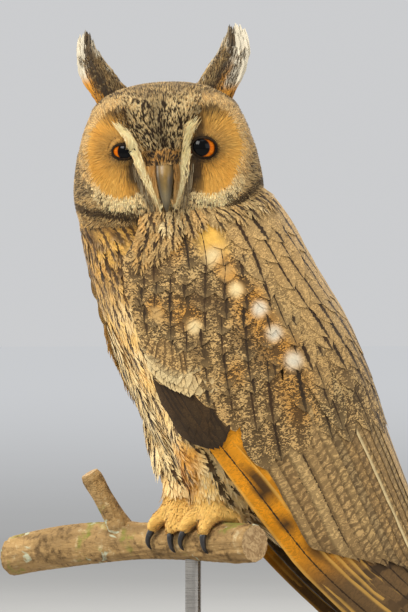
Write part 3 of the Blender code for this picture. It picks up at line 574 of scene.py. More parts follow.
def feather_marks():
    """Markings of one feather from its own maps: fine scrawls, bars, shaft streak, tip and edges."""
    tree, w, given, out = new_group(
        "feather marks",
        {
            "Scrawl size": 1.0,
            "Scrawl edge": 0.06,
            "Scrawl cover": 0.5,
            "Bar spacing": 1.2,
            "Bar edge": 0.05,
            "Barb lines": 0.25,
        },
        {"Color": "Color", "Height": "Float"},
    )
    ground = w.told("ground")
    mark = w.told("mark")
    tip = w.told("tip")
    streak, bars, scrawls = w.split(w.told("pattern")["Vector"])
    across, along, _ = w.split(w.add("ShaderNodeUVMap", uv_map="vane").outputs[0])
    off = w.math("ABSOLUTE", w.minus(w.times(across, 2.0), 1.0))
    span = w.add("ShaderNodeUVMap", uv_map="span").outputs[0]
    down = w.split(span)[1]

    # scrawls that run across the feather
    fine = w.noise(w.stretched(span, (4.4, 7.6, 1.0)), given["Scrawl size"], 2.5, 0.6, 1.5)
    edge = given["Scrawl edge"]
    tone = w.noise(span, 1.1, 2.0)
    fine = w.plus(w.plus(fine, given["Scrawl cover"]), w.smooth(off, 0.0, 0.45, 0.10, 0.0))
    fine = w.plus(fine, w.times(w.minus(tone, 0.5), 0.35))
    scrawl = w.smooth(fine, w.minus(1.0, edge), w.plus(1.0, edge))
    scrawl = w.times(scrawl, scrawls)

    # bars across the feather, bowed towards its tip
    wobble = w.noise(span, 2.4, 1.0)
    bowed = w.plus(w.times(off, -0.22), w.times(wobble, 0.6))
    turns = w.over(w.plus(down, bowed), given["Bar spacing"])
    wave = w.math("SINE", w.times(turns, 2 * math.pi))
    bar = w.smooth(wave, given["Bar edge"], w.plus(given["Bar edge"], 0.35))
    bar = w.times(bar, bars)

    # the streak along the shaft, ragged and narrower towards the tip
    ragged = w.noise(w.stretched(span, (2.5, 4.0, 1.0)), 1.6, 2.0)
    reach = w.times(streak, w.plus(-0.55, w.times(ragged, 3.0)))
    reach = w.math("MAXIMUM", reach, 0.0)
    reach = w.times(reach, w.smooth(along, 0.86, 1.02, 1.0, 0.35))
    near = w.over(off, w.plus(reach, 0.001))
    line = w.smooth(near, 0.75, 1.25, 1.0, 0.0)
    line = w.times(line, w.smooth(streak, 0.0, 0.02))

    marked = w.math("MAXIMUM", w.math("MAXIMUM", scrawl, bar), line)
    colour = w.mix(marked, ground["Color"], mark["Color"])
    rim = w.times(w.smooth(along, 0.78, 0.98), tip["Alpha"])
    rim = w.times(rim, w.minus(1.0, w.times(line, 0.7)))
    colour = w.mix(rim, colour, tip["Color"])
    edging = w.times(w.smooth(off, 0.72, 0.9), w.minus(1.0, mark["Alpha"]))
    colour = w.mix(edging, colour, tip["Color"])
    colour = w.mix(1.0, colour, w.smooth(tone, 0.2, 0.8, 0.84, 1.12), "MULTIPLY")
    w.put(out["Color"], colour)

    # barbs that slant from the shaft
    slant = w.minus(down, w.times(off, 0.5))
    barbs = w.math("SINE", w.times(slant, 170.0))
    height = w.times(barbs, given["Barb lines"])
    shaft = w.smooth(off, 0.0, 0.10, 1.0, 0.0)
    w.put(out["Height"], w.plus(height, shaft))
    return tree


def grain_group():
    """Lines of grain that wander along a direction, as a mask and a height."""
    tree, w, given, out = new_group(
        "grain",
        {"Vector": None, "Scale": 60.0, "Stretch": 12.0},
        {"Mask": "Float", "Height": "Float"},
    )
    x, y, z = w.split(given["Vector"])
    join = w.add("ShaderNodeCombineXYZ")
    for socket, value in zip(join.inputs, (w.over(x, given["Stretch"]), y, z)):
        w.put(socket, value)
    broad = w.noise(join.outputs[0], given["Scale"], 4.0, 0.6, 0.4)
    fine = w.noise(join.outputs[0], w.times(given["Scale"], 7.0), 3.0, 0.6)
    w.put(out["Mask"], w.smooth(broad, 0.3, 0.7))
    w.put(out["Height"], w.plus(broad, w.times(fine, 0.4)))
    return tree


def speckle_group():
    """Patches and specks of three tones, for bark, horn and skin."""
    tree, w, given, out = new_group(
        "speckle",
        {
            "Vector": None, "Scale": 80.0, "Low": (0, 0, 0, 1), "Middle": (0.5, 0.5, 0.5, 1),
            "High": (1, 1, 1, 1),
        },
        {"Color": "Color", "Height": "Float"},
    )
    broad = w.noise(given["Vector"], given["Scale"], 4.0, 0.6, 0.3)
    fine = w.noise(given["Vector"], w.times(given["Scale"], 4.3), 4.0, 0.65)
    both = w.plus(w.times(broad, 0.6), w.times(fine, 0.4))
    colour = w.mix(w.smooth(both, 0.36, 0.52), given["Low"], given["Middle"])
    colour = w.mix(w.smooth(both, 0.54, 0.68), colour, given["High"])
    w.put(out["Color"], colour)
    w.put(out["Height"], both)
    return tree


MARKS = feather_marks()
GRAIN = grain_group()
SPECKLE = speckle_group()


def new_material(name, roughness=0.6, **settings):
    made = bpy.data.materials.new(name)
    made.use_nodes = True
    w = Wiring(made.node_tree)
    shader = made.node_tree.nodes["Principled BSDF"]
    shader.inputs["Roughness"].default_value = roughness
    for key, value in settings.items():
        shader.inputs[key.replace("_", " ")].default_value = value
    return made, w, shader.inputs


def bumped(w, sockets, height, strength, distance):
    bump = w.add("ShaderNodeBump")
    bump.inputs["Strength"].default_value = strength
    bump.inputs["Distance"].default_value = distance
    w.put(bump.inputs["Height"], height)
    w.put(sockets["Normal"], bump.outputs[0])


def plume_material(name, scrawl, edge, cover, spacing, barbs, sheen=0.1, roughness=0.75, bar=0.05):
    made, w, sockets = new_material(
        name, roughness, Sheen_Weight=sheen, Sheen_Roughness=0.5, Specular_IOR_Level=0.2
    )
    marks = w.group(
        MARKS,
        Scrawl_size=scrawl,
        Scrawl_edge=edge,
        Scrawl_cover=cover,
        Bar_spacing=spacing,
        Bar_edge=bar,
        Barb_lines=barbs,
    )
    w.put(sockets["Base Color"], marks.outputs["Color"])
    bumped(w, sockets, marks.outputs["Height"], 0.35, 0.0003)
    return made


def shade(r, g, b):
    """A colour for a socket by its three everyday values."""
    return (*linear(r, g, b), 1.0)


def speckled(w, at, scale, low, middle, high):
    return w.group(SPECKLE, Vector=at, Scale=scale, Low=low, Middle=middle, High=high).outputs


def skin_material():
    made, w, sockets = new_material("downy skin", 0.9, Specular_IOR_Level=0.1, Sheen_Weight=0.3)
    ground = w.told("ground")["Color"]
    at = w.here()
    tone = w.noise(at, 420.0, 3.0, 0.6)
    w.put(sockets["Base Color"], w.mix(1.0, ground, w.smooth(tone, 0.3, 0.7, 0.45, 1.0), "MULTIPLY"))
    bumped(w, sockets, tone, 0.6, 0.0008)
    return made


def eye_material():
    """The eyeball by how far each point lies from the pupil: pupil, ringed iris and dark rim, with painted
    shade of the brow over the iris's top and bill side.
    """
    made, w, sockets = new_material("eye", 0.1, Specular_IOR_Level=0.12)
    iris_place = w.told("iris")["Vector"]
    outward, upward, reach = w.split(iris_place)
    rays = w.noise(w.stretched(iris_place, (9.0, 9.0, 1.2)), 1.4, 3.0, 0.6, 0.5)
    iris = w.mix(w.smooth(rays, 0.3, 0.7), shade(186, 80, 4), shade(226, 128, 14))
    iris = w.mix(w.smooth(reach, 0.60, 0.72, 0.8, 0.0), iris, shade(110, 44, 4))
    iris = w.mix(w.smooth(reach, 0.84, 0.96), iris, shade(96, 38, 4))
    # painted shade of the brow and upper lid: the iris darker towards its top and towards the bill
    iris = w.mix(w.smooth(upward, -0.1, 0.9, 0.0, 0.65), iris, shade(60, 26, 6))
    iris = w.mix(w.smooth(outward, -0.9, -0.2, 0.75, 0.0), iris, shade(40, 18, 6))
    colour = w.mix(w.smooth(reach, 0.605, 0.635, 1.0, 0.0), iris, (0.0008, 0.0008, 0.001, 1))
    colour = w.mix(w.smooth(reach, 0.95, 1.02), colour, (0.003, 0.002, 0.002, 1))
    w.put(sockets["Base Color"], colour)
    return made


def lid_material():
    made, w, sockets = new_material("eyelid", 0.9, Specular_IOR_Level=0.1)
    specks = speckled(w, w.here(), 700.0, shade(18, 13, 8), shade(36, 26, 16), shade(70, 51, 30))
    w.put(sockets["Base Color"], specks["Color"])
    bumped(w, sockets, specks["Height"], 0.4, 0.0003)
    return made


def horn_material(name, tones, scale=260.0):
    made, w, sockets = new_material(name, 0.42, Coat_Weight=0.06, Coat_Roughness=0.35)
    specks = speckled(w, w.here(), scale, *tones)
    w.put(sockets["Base Color"], specks["Color"])
    w.put(sockets["Roughness"], w.smooth(specks["Height"], 0.35, 0.65, 0.3, 0.5))
    bumped(w, sockets, specks["Height"], 0.18, 0.0004)
    return made


def bark_material():
    made, w, sockets = new_material("bark", 0.85, Specular_IOR_Level=0.2)
    at = w.here()
    turn = w.add("ShaderNodeMapping")
    w.put(turn.inputs["Vector"], at)
    turn.inputs["Rotation"].default_value = (0, 0, -math.radians(30))
    grain = w.group(GRAIN, Vector=turn.outputs[0], Scale=150.0, Stretch=5.0)
    specks = speckled(w, at, 90.0, shade(92, 70, 42), shade(176, 142, 92), shade(214, 190, 144))
    colour = w.mix(w.times(grain.outputs["Mask"], 0.6), specks["Color"], shade(104, 82, 52))
    moss = w.noise(at, 46.0, 4.0, 0.6)
    colour = w.mix(w.smooth(moss, 0.56, 0.66, 0.0, 0.75), colour, shade(122, 128, 52))
    lichen = w.noise(at, 75.0, 3.0, 0.6, 0.6)
    colour = w.mix(w.smooth(lichen, 0.63, 0.67), colour, shade(176, 176, 148))
    w.put(sockets["Base Color"], colour)
    height = w.plus(grain.outputs["Height"], specks["Height"])
    bumped(w, sockets, height, 0.9, 0.0016)
    return made


def wood_material():
    made, w, sockets = new_material("stained wood", 0.38, Coat_Weight=0.25, Coat_Roughness=0.25)
    at = w.here()
    grain = w.group(GRAIN, Vector=at, Scale=140.0, Stretch=14.0)
    colour = w.mix(grain.outputs["Mask"], shade(44, 27, 16), shade(86, 54, 32))
    w.put(sockets["Base Color"], colour)
    bumped(w, sockets, grain.outputs["Height"], 0.12, 0.0004)
    return made


def steel_material():
    made, w, sockets = new_material("brushed steel", 0.32, Metallic=1.0)
    at = w.here()
    lines = w.noise(w.stretched(at, (60.0, 60.0, 2200.0)), 1.0, 2.0)
    w.put(sockets["Base Color"], w.mix(lines, (0.24, 0.225, 0.21, 1), (0.40, 0.385, 0.36, 1)))
    w.put(sockets["Roughness"], w.smooth(lines, 0.3, 0.7, 0.24, 0.42))
    bumped(w, sockets, lines, 0.06, 0.0001)
    return made


# The skin under the feathers

SKIN_NODES = ("head", "neck", "torso", "thigh_left", "thigh_right", "foot_left", "foot_right")
VOXEL = 1.6 * MM
# How deep the skin lies under the solid of each node
SKIN_DEPTH = {"head": 3.2, "neck": 4.6, "torso": 4.6, "thigh": 2.8, "foot": 1.0}
FACE_DEPTH = 2.2


def merged_copy(names):
    """One bmesh of copies of CAD nodes, their loose triangles merged."""
    bm = bmesh.new()
    for name in names:
        bm.from_mesh(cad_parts[name].data)
    bmesh.ops.remove_doubles(bm, verts=bm.verts, dist=0.01 * MM)
    bmesh.ops.recalc_face_normals(bm, faces=bm.faces)
    return bm


def soften(piece, rounds):
    """Evens a piece out and bakes the modifiers on it into its mesh."""
    smooth = piece.modifiers.new("soften", "SMOOTH")
    smooth.factor = 0.5
    smooth.iterations = rounds
    bpy.context.view_layer.update()
    graph = bpy.context.evaluated_depsgraph_get()
    mesh = bpy.data.meshes.new_from_object(piece.evaluated_get(graph))
    piece.modifiers.clear()
    piece.data = mesh


def tree_over(points):
    tree = KDTree(len(points))
    for i, p in enumerate(points):
        tree.insert(p, i)
    tree.balance()
    return tree


def thinned(points, gaps):
    """Which points stay when each one that is kept clears the later ones within its gap."""
    tree = tree_over(points)
    gone = np.zeros(len(points), bool)
    kept = []
    for i, gap in enumerate(gaps):
        if not gone[i]:
            kept.append(i)
            for _, j, _ in tree.find_range(points[i], gap * 0.9):
                gone[j] = True
    return kept


def arrays_of(mesh):
    at = np.empty(len(mesh.vertices) * 3, np.float32)
    mesh.vertices.foreach_get("co", at)
    normal = np.empty(len(mesh.vertices) * 3, np.float32)
    mesh.vertices.foreach_get("normal", normal)
    mesh.calc_loop_triangles()
    faces = np.empty(len(mesh.loop_triangles) * 3, np.int32)
    mesh.loop_triangles.foreach_get("vertices", faces)
    return at.reshape(-1, 3).astype(float), normal.reshape(-1, 3).astype(float), faces.reshape(-1, 3)


def nearest_node(points, names):
    """Which of the named CAD nodes lies nearest to each point."""
    best = np.full(len(points), 1e9)
    which = np.zeros(len(points), int)
    for k, name in enumerate(names):
        tree = node_trees[name]
        for i, p in enumerate(points):
            found = tree.find_nearest(p, float(best[i]))
            if found[0] is not None and found[3] < best[i]:
                best[i] = found[3]
                which[i] = k
    return which


def tree_of(name):
    bm = merged_copy([name])
    tree = BVHTree.FromBMesh(bm)
    bm.free()
    return tree


node_trees = {name: tree_of(name) for name in SKIN_NODES}


skin_material_made = skin_material()


def make_skin():
    """The solids of the body fused to one shape and drawn in under the feathers."""
    bm = merged_copy(SKIN_NODES)
    for vert in bm.verts:
        vert.normal_update()
    moves = [v.normal * (0.35 * MM) for v in bm.verts]
    for vert, move in zip(bm.verts, moves):
        vert.co += move
    skin = bmesh_piece(bm, "skin", skin_material_made)
    remesh = skin.modifiers.new("fuse", "REMESH")
    remesh.mode = "VOXEL"
    remesh.voxel_size = VOXEL
    soften(skin, 8)
    at, normal, _ = arrays_of(skin.data)
    which = nearest_node(at, SKIN_NODES)
    depth = np.array([SKIN_DEPTH[name.split("_")[0]] for name in SKIN_NODES])[which]
    depth = np.where((which == 0) & (head_coordinates(at)[1] > 10), FACE_DEPTH, depth)
    # an even change of depth between neighbouring regions
    tree = tree_over(at)
    some = np.array([depth[[i for _, i, _ in tree.find_n(p, 24)]].mean() for p in at])
    at -= normal * some[:, None] * MM
    skin.data.vertices.foreach_set("co", at.astype(np.float32).ravel())
    soften(skin, 4)
    skin.data.shade_smooth()
    return skin


skin = make_skin()
skin_at, skin_normal, skin_faces = arrays_of(skin.data)
skin_tree = BVHTree.FromPolygons([tuple(p) for p in skin_at], [tuple(f) for f in skin_faces.tolist()])
face_middle = skin_at[skin_faces].mean(1)
face_node = nearest_node(face_middle, SKIN_NODES)
face_area = 0.5 * np.linalg.norm(
    np.cross(
        skin_at[skin_faces[:, 1]] - skin_at[skin_faces[:, 0]],
        skin_at[skin_faces[:, 2]] - skin_at[skin_faces[:, 0]],
    ),
    axis=1,
)


def smooth_normals(rounds):
    """Vertex normals of the skin, evened out over their neighbours."""
    normal = skin_normal.copy()
    a, b, c = skin_faces.T
    for _ in range(rounds):
        total = normal.copy()
        for i, j in ((a, b), (b, c), (c, a)):
            np.add.at(total, i, normal[j])
            np.add.at(total, j, normal[i])
        normal = unit(total)
    return normal


even_normal = smooth_normals(6)


def on_skin(points):
    """The nearest places on the skin and the even outward directions there."""
    at = np.empty_like(points)
    up = np.empty_like(points)
    for i, p in enumerate(points):
        place, _, k, _ = skin_tree.find_nearest(Vector(p))
        at[i] = place
        up[i] = even_normal[skin_faces[k]].mean(0)
    return at, unit(up)


def scatter(keep_faces, spacing, seed):
    """Evenly spread places on some faces of the skin, about a spacing (mm) apart."""
    rng = np.random.default_rng(seed)
    pick = np.nonzero(keep_faces)[0]
    area = face_area[pick]
    spacing = spacing(face_middle[pick]) if callable(spacing) else spacing
    gap = np.broadcast_to(np.asarray(spacing, float) * MM, (len(pick),))
    want = area / gap**2
    number = int(want.sum() * 4)
    chosen = rng.choice(len(pick), number, p=want / want.sum())
    r1, r2 = np.sqrt(rng.uniform(size=number)), rng.uniform(size=number)
    corners = skin_at[skin_faces[pick[chosen]]]
    shares = (1 - r1, r1 * (1 - r2), r1 * r2)
    points = shares[0][:, None] * corners[:, 0] + shares[1][:, None] * corners[:, 1]
    points = points + shares[2][:, None] * corners[:, 2]
    return points[thinned(points, gap[chosen])]


def trace(roots, flow, length, rows, lifts):
    """Spines that follow a flow over the skin from their roots, lifted off it root to tip (mm)."""
    number = len(roots)
    length = np.broadcast_to(np.asarray(length, float) * MM, (number,))
    low, high = [np.broadcast_to(np.asarray(v, float) * MM, (number,)) for v in lifts]
    at, up = on_skin(roots)
    places, ups = [at], [up]
    for _ in range(rows - 1):
        way = flow(at)
        way = unit(way - up * np.sum(way * up, 1)[:, None])
        at, up = on_skin(at + way * (length / (rows - 1))[:, None])
        places.append(at)
        ups.append(up)
    places, ups = np.stack(places, 1), np.stack(ups, 1)
    ups = unit(ups + 0.5 * ups.mean(1, keepdims=True))
    t = np.linspace(0, 1, rows)[None, :, None]
    lift = low[:, None, None] + (high - low)[:, None, None] * t**1.2
    return places + ups * lift, ups


def body_bake(points):
    """A place on an unwrap of the body's own shape: round its axis and down it."""
    away = points / MM - AXIS_TOP
    along, depth, side = away @ DOWN_AXIS, away @ TO_BACK, away @ LEFT
    turn = np.arctan2(depth, side) / (2 * math.pi) + 0.5
    return np.stack([0.02 + 0.44 * turn, 0.02 + 0.96 * np.clip((along + 60) / 430, 0, 1)], 1)


def head_bake(points):
    side, face, height = head_coordinates(points)
    turn = np.arctan2(side, face) / (2 * math.pi) + 0.5
    return np.stack([0.50 + 0.47 * turn, 0.02 + 0.46 * np.clip((height + 60) / 130, 0, 1)], 1)


def wing_bake(roots, hand):
    """The same for (along, share) places of a wing, each wing on a part of its own."""
    along, share = np.clip((roots[:, 0] - 50) / 320, 0, 1), np.clip(roots[:, 1], 0, 1.1)
    return np.stack([(0.5 if hand > 0 else 0.74) + 0.23 * share, 0.52 + 0.46 * along], 1)


def varied(rng, colour, amount):
    """A colour for each feather, a little lighter or darker and warmer or cooler."""
    light = 1 + amount * rng.uniform(-1, 1, (len(colour), 1))
    warm = 1 + 0.4 * amount * rng.uniform(-1, 1, (len(colour), 1)) * np.array((1, 0, -1.4))
    return colour * light * warm


def same(colour, number):
    return np.broadcast_to(ink(colour), (number, 3))


def pattern(streak, bars, scrawls):
    """How strong the three markings are, each for all feathers or for one at a time."""
    return np.stack(np.broadcast_arrays(streak, bars, scrawls), -1)


def with_strength(colour, strength):
    """A colour with how strongly it covers, for all feathers or for one at a time."""
    colour, strength = np.broadcast_arrays(ink(colour), np.asarray(strength, float)[..., None])
    return np.concatenate([colour, strength[..., :1]], -1)


# Eyes with their lids

# Side and height of the middle of the left eye's opening
EYE_OPENING = (20.0, -0.95)
# Half the width and height of each eye's opening: the left eye is wider open
LID_SIZES = {1: (5.6, 4.5), -1: (5.0, 3.1)}
# The lids' rounded edge: how far each ring stands over the eyeball and out from the opening
LID_EDGE = ((0.12, 0.3), (0.25, -0.1), (0.50, 0.05), (0.55, 0.3), (0.45, 0.7))


def make_eyes():
    ball, rim = eye_material(), lid_material()
    lids = []
    for hand, side in HANDS:
        middle = HEAD_AT + HEAD_SIDE * hand * EYE_SIDE + HEAD_FACE * (EYE_FRONT - EYE_RADIUS)
        middle = middle + HEAD_UP * EYE_HEIGHT
        # pupils a little towards the bill, as both eyes look at the viewer
        gaze = unit(HEAD_FACE + HEAD_SIDE * (-0.035 * hand + 0.012) + HEAD_UP * 0.03)
        out = unit(HEAD_SIDE * hand - gaze * np.dot(HEAD_SIDE * hand, gaze))
        high = np.cross(gaze, out) * hand
        bm = bmesh.new()
        bmesh.ops.create_uvsphere(bm, u_segments=64, v_segments=40, radius=1.0)
        turn = Matrix((out, high, gaze)).transposed()
        for vert in bm.verts:
            x, y, z = vert.co
            bulge = 0.30 * max(0.0, z - 0.62) ** 2
            vert.co = turn @ Vector((x, y, z + bulge)) * (EYE_RADIUS * MM * 0.985) + Vector(middle * MM)
        eye = bmesh_piece(bm, f"eyeball_{side}", ball)
        at = arrays_of(eye.data)[0] - middle * MM
        x, y, z = at @ out, at @ high, at @ gaze
        reach = np.hypot(x, y)
        front = np.where(z > 0, reach / (7.0 * MM), 2.0)
        iris = np.stack([x / np.maximum(reach, 1e-6), y / np.maximum(reach, 1e-6), front], 1)
        store(eye.data, "iris", "FLOAT_VECTOR", "vector", iris)
        hand_over(eye, [f"eye_{side}"])

        # lids: a band round an almond opening, close over the eyeball and out under the feathers
        wide, tall = LID_SIZES[hand]
        steps = 84
        bm = bmesh.new()
        grid = []
        for i in range(steps):
            a = 2 * math.pi * i / steps
            c, s = math.cos(a), math.sin(a)
            x = wide * math.copysign(abs(c) ** 0.92, c)
            y = tall * math.copysign(abs(s) ** (0.85 if s > 0 else 1.1), s) - 0.10 * x
            ring = []
            from_middle = math.hypot(x, y)
            inner = max(0.0, -c)
            outer = max(9.2 - from_middle, 2.8) * (1 - 0.5 * inner)
            fall = (
                (0.45 - 0.5 * inner, 0.5 * outer), (0.4 - inner, 0.8 * outer), (0.3 - 1.6 * inner, outer)
            )
            for swell, grow in LID_EDGE + fall:
                px = hand * (EYE_OPENING[0] - EYE_SIDE) + x * (1 + grow / from_middle)
                py = EYE_OPENING[1] - EYE_HEIGHT + y * (1 + grow / from_middle)
                gap = math.hypot(px, py)
                depth = math.sqrt(max((EYE_RADIUS + swell) ** 2 - gap**2, 4.0))
                place = middle + HEAD_SIDE * px + HEAD_UP * py + HEAD_FACE * depth
                ring.append(bm.verts.new(place * MM))
            grid.append(ring)
        for i in range(steps):
            a, b = grid[i], grid[(i + 1) % steps]
            for j in range(len(a) - 1):
                bm.faces.new((a[j], b[j], b[j + 1], a[j + 1]))
        lid = bmesh_piece(bm, f"eyelids_{side}", rim)
        hand_over(lid)
        lids.append(lid)
    return lids


# Bill

# The bill's own side, and (face, height, half width, half depth) along both of its parts
BILL_SIDE = 0.4
UPPER_BILL = (
    (33.0, -4.0, 4.6, 4.6),
    (38.0, -8.0, 4.9, 4.8),
    (41.8, -13.5, 4.4, 4.4),
    (43.2, -19.5, 3.5, 3.6),
    (42.6, -25.0, 2.4, 2.6),
    (40.8, -29.5, 1.2, 1.3),
    (39.4, -31.8, 0.4, 0.4),
)
LOWER_BILL = (
    (31.0, -16.0, 4.0, 2.6),
    (35.0, -19.5, 3.7, 2.4),
    (37.4, -23.0, 2.8, 1.9),
    (38.2, -26.5, 1.5, 1.1),
)


def bent_tube(bm, centres, sideways, wides, deeps, sides, power=2.0):
    """A closed tube of oval rings along a curve."""
    ahead = unit(np.gradient(centres, axis=0))
    sideways = unit(sideways - ahead * (ahead @ sideways)[:, None])
    over = np.cross(ahead, sideways)
    rings = []
    for p, s, o, wide, deep in zip(centres, sideways, over, wides, deeps):
        ring = []
        for k in range(sides):
            a = 2 * math.pi * k / sides
            c, n = math.cos(a), math.sin(a)
            c = math.copysign(abs(c) ** (2 / power), c)
            n = math.copysign(abs(n) ** (2 / power), n)
            ring.append(bm.verts.new(p + s * c * wide + o * n * deep))
        rings.append(ring)
    join_rings(bm, rings)
    for ring in (rings[0], rings[-1]):
        bm.faces.new(ring)


def join_rings(bm, rings):
    for a, b in zip(rings, rings[1:]):
        for k in range(len(a)):
            m = (k + 1) % len(a)
            bm.faces.new((a[k], a[m], b[m], b[k]))


def horn_piece(bm, name, material):
    """A part of the bill: olive at its root, slate at its tip, with painted shade down its sides and a
    painted highlight along its ridge.
    """
    made = bmesh_piece(bm, name, material)
    side, _, height = head_coordinates(arrays_of(made.data)[0])
    off = np.abs(side - BILL_SIDE)
    colour = np.array(linear(124, 94, 34))
    for tone, high, low in (((110, 88, 42), 13, 20), ((112, 98, 68), 19, 24), ((66, 58, 42), 25, 31)):
        colour = blend(colour, np.array(linear(*tone)), ramp(-height, high, low))
    # painted shade: darker down the bill's sides
    colour = blend(colour, colour * 0.25, ramp(off - 1.2 * ramp(height, -17, -12), 0.7, 3.2))
    # painted highlight: lighter along the ridge
    colour = blend(colour, colour * 1.5, (1 - ramp(off, 0.1, 0.9)) * 0.7)
    store(made.data, "ground", "FLOAT_COLOR", "color", colour)
    return made


def bill_tube(table, last, count, sides, power, swell=0.0):
    """A tube through the stations of a bill's table up to the last, swollen by some millimetres."""
    smooth = table_at(np.column_stack([np.arange(len(table)), table]), np.linspace(0, last, count))
    centres = np.stack([head_place(BILL_SIDE, f, h) for f, h in smooth[:, :2]])
    wides, deeps = (np.maximum(smooth[:, k] + swell, 0.15) * MM for k in (2, 3))
    bm = bmesh.new()
    bent_tube(bm, centres, HEAD_SIDE, wides, deeps, sides, power)
    return bm


def make_bill():
    tones = ((0.6, 0.6, 0.6, 1), (0.9, 0.9, 0.88, 1), (1.15, 1.15, 1.1, 1))
    dark_horn = horn_material("bill horn", tones, 170.0)
    w = Wiring(dark_horn.node_tree)
    shader = dark_horn.node_tree.nodes["Principled BSDF"].inputs["Base Color"]
    worn = shader.links[0].from_socket
    ground = w.told("ground")["Color"]
    w.put(shader, w.mix(1.0, worn, ground, "MULTIPLY"))
    pieces = []
    for table, part, sides in ((UPPER_BILL, "upper", 28), (LOWER_BILL, "lower", 24)):
        bm = bill_tube(table, len(table) - 1, 26, sides, 2.15)
        pieces.append(horn_piece(bm, f"{part}_bill", dark_horn))
        hand_over(pieces[-1], [f"bill_{part}"])
    # the soft cere over the bill's root, with its nostrils
    swell = np.interp(np.linspace(0, 1, 12), (0, 0.5, 0.85, 1), (0.5, 0.55, 0.3, -0.1))
    bm = bill_tube(UPPER_BILL[:3], 1.55, 12, 28, 2.2, swell)
    pieces.append(horn_piece(bm, "cere", dark_horn))
    hand_over(pieces[-1])
    # the nostrils: near-black blobs set into the cere, painted shade standing for their openings
    pit, w, sockets = new_material("nostril pit", 0.7)
    tone = w.noise(w.here(), 900.0)
    w.put(sockets["Base Color"], w.mix(tone, (0.004, 0.003, 0.003, 1), (0.02, 0.017, 0.014, 1)))
    bm = bmesh.new()
    tall, out = unit(HEAD_UP * 0.8 - HEAD_FACE * 0.6), unit(HEAD_FACE * 0.8 + HEAD_UP * 0.6)
    turn = Matrix((HEAD_SIDE, tall, out)).transposed()
    for hand, _ in HANDS:
        made = bmesh.ops.create_uvsphere(bm, u_segments=20, v_segments=12, radius=1.0)
        centre = Vector(head_place(BILL_SIDE + hand * 4.0, 40.6, -10.2))
        for vert in made["verts"]:
            x, y, z = vert.co
            vert.co = centre + turn @ Vector((x * 0.7, y * 1.35, z * 0.85)) * MM
    hand_over(bmesh_piece(bm, "nostrils", pit))
    return pieces


face_pieces = make_eyes() + make_bill()


# The face as a relief: how far it stands out at each side and height

RELIEF_STEP = 0.5
RELIEF_SIDES = np.arange(-40, 40.1, RELIEF_STEP)
RELIEF_HEIGHTS = np.arange(-44, 40.1, RELIEF_STEP)
# It is felt for from in front of the face, and lies this far out where nothing is met
FEELER_START = 60.0
FEELER_REACH = 0.068
NOTHING_MET = -8.0
# Least and most side and height of the places that feathers are spread over
FACE_BOX = (-40, 40, -40, 34)


def make_relief():
    trees = [skin_tree]
    for piece in face_pieces:
        at, _, faces = arrays_of(piece.data)
        trees.append(BVHTree.FromPolygons([tuple(p) for p in at], [tuple(f) for f in faces.tolist()]))
    side, height = np.meshgrid(RELIEF_SIDES, RELIEF_HEIGHTS, indexing="ij")
    starts = head_place(side, FEELER_START, height)
    stand = np.full(side.shape, NOTHING_MET)
    way = Vector(-HEAD_FACE)
    for i in range(side.shape[0]):
        for j in range(side.shape[1]):
            start = Vector(starts[i, j])
            for tree in trees:
                gap = tree.ray_cast(start, way, FEELER_REACH)[3]
                if gap is not None:
                    stand[i, j] = max(stand[i, j], FEELER_START - gap / MM)
    even = stand.copy()
    for _ in range(4):
        wide = np.pad(even, 1, mode="edge")
        shifts = [(i, j) for i in range(3) for j in range(3)]
        even = sum(wide[i : i + side.shape[0], j : j + side.shape[1]] for i, j in shifts) / 9
    return np.maximum(even, 0.5 * (even + stand))


relief = make_relief()


def stand_out(side, height):
    """How far the face stands out, and its outward direction."""
    u = np.clip((side - RELIEF_SIDES[0]) / RELIEF_STEP, 0, len(RELIEF_SIDES) - 1.01)
    v = np.clip((height - RELIEF_HEIGHTS[0]) / RELIEF_STEP, 0, len(RELIEF_HEIGHTS) - 1.01)
    i, j = u.astype(int), v.astype(int)
    f, g = u - i, v - j
    a, b, c, d = relief[i, j], relief[i + 1, j], relief[i, j + 1], relief[i + 1, j + 1]
    out = a * (1 - f) * (1 - g) + b * f * (1 - g) + c * (1 - f) * g + d * f * g
    rise_side = ((b - a) * (1 - g) + (d - c) * g) / RELIEF_STEP
    rise_up = ((c - a) * (1 - f) + (d - b) * f) / RELIEF_STEP
    rise_side, rise_up = (np.clip(rise, -2, 2)[..., None] for rise in (rise_side, rise_up))
    return out, unit(HEAD_FACE - rise_side * HEAD_SIDE - rise_up * HEAD_UP)


def face_scatter(inside, spacing, seed):
    """Evenly spread sides and heights on the face where inside(side, height) holds."""
    rng = np.random.default_rng(seed)
    least, most, low, high = FACE_BOX
    number = int((most - least) * (high - low) / spacing**2 * 4)
    side, height = rng.uniform(least, most, number), rng.uniform(low, high, number)
    keep = inside(side, height)
    side, height = side[keep], height[keep]
    out, _ = stand_out(side, height)
    kept = thinned(np.stack([side, height, out], 1), np.full(len(side), spacing))
    return side[kept], height[kept]


def face_trace(side, height, flow, length, rows, lifts):
    """Spines over the face's relief from sides and heights, as trace() does over the skin."""
    number = len(side)
    length = np.broadcast_to(np.asarray(length, float), (number,))
    low, high = [np.broadcast_to(np.asarray(v, float), (number,)) for v in lifts]
    spine, ups = [], []
    for k in range(rows):
        out, up = stand_out(side, height)
        t = k / (rows - 1)
        lift = low + (high - low) * t**1.2
        spine.append(head_place(side, out, height) + up * (lift * MM)[:, None])
        ups.append(up)
        way_side, way_up = flow(side, height)
        size = np.maximum(np.hypot(way_side, way_up), 1e-6)
        facing = np.clip(up @ HEAD_FACE, 0.35, 1)
        step = length / (rows - 1) * (0.4 + 0.6 * facing) / size
        side, height = side + way_side * step, height + way_up * step
    spine, ups = np.stack(spine, 1), np.stack(ups, 1)
    spine[:, 1:-1] = 0.25 * spine[:, :-2] + 0.5 * spine[:, 1:-1] + 0.25 * spine[:, 2:]
    return spine, unit(ups + ups.mean(1, keepdims=True))


# The feathered head

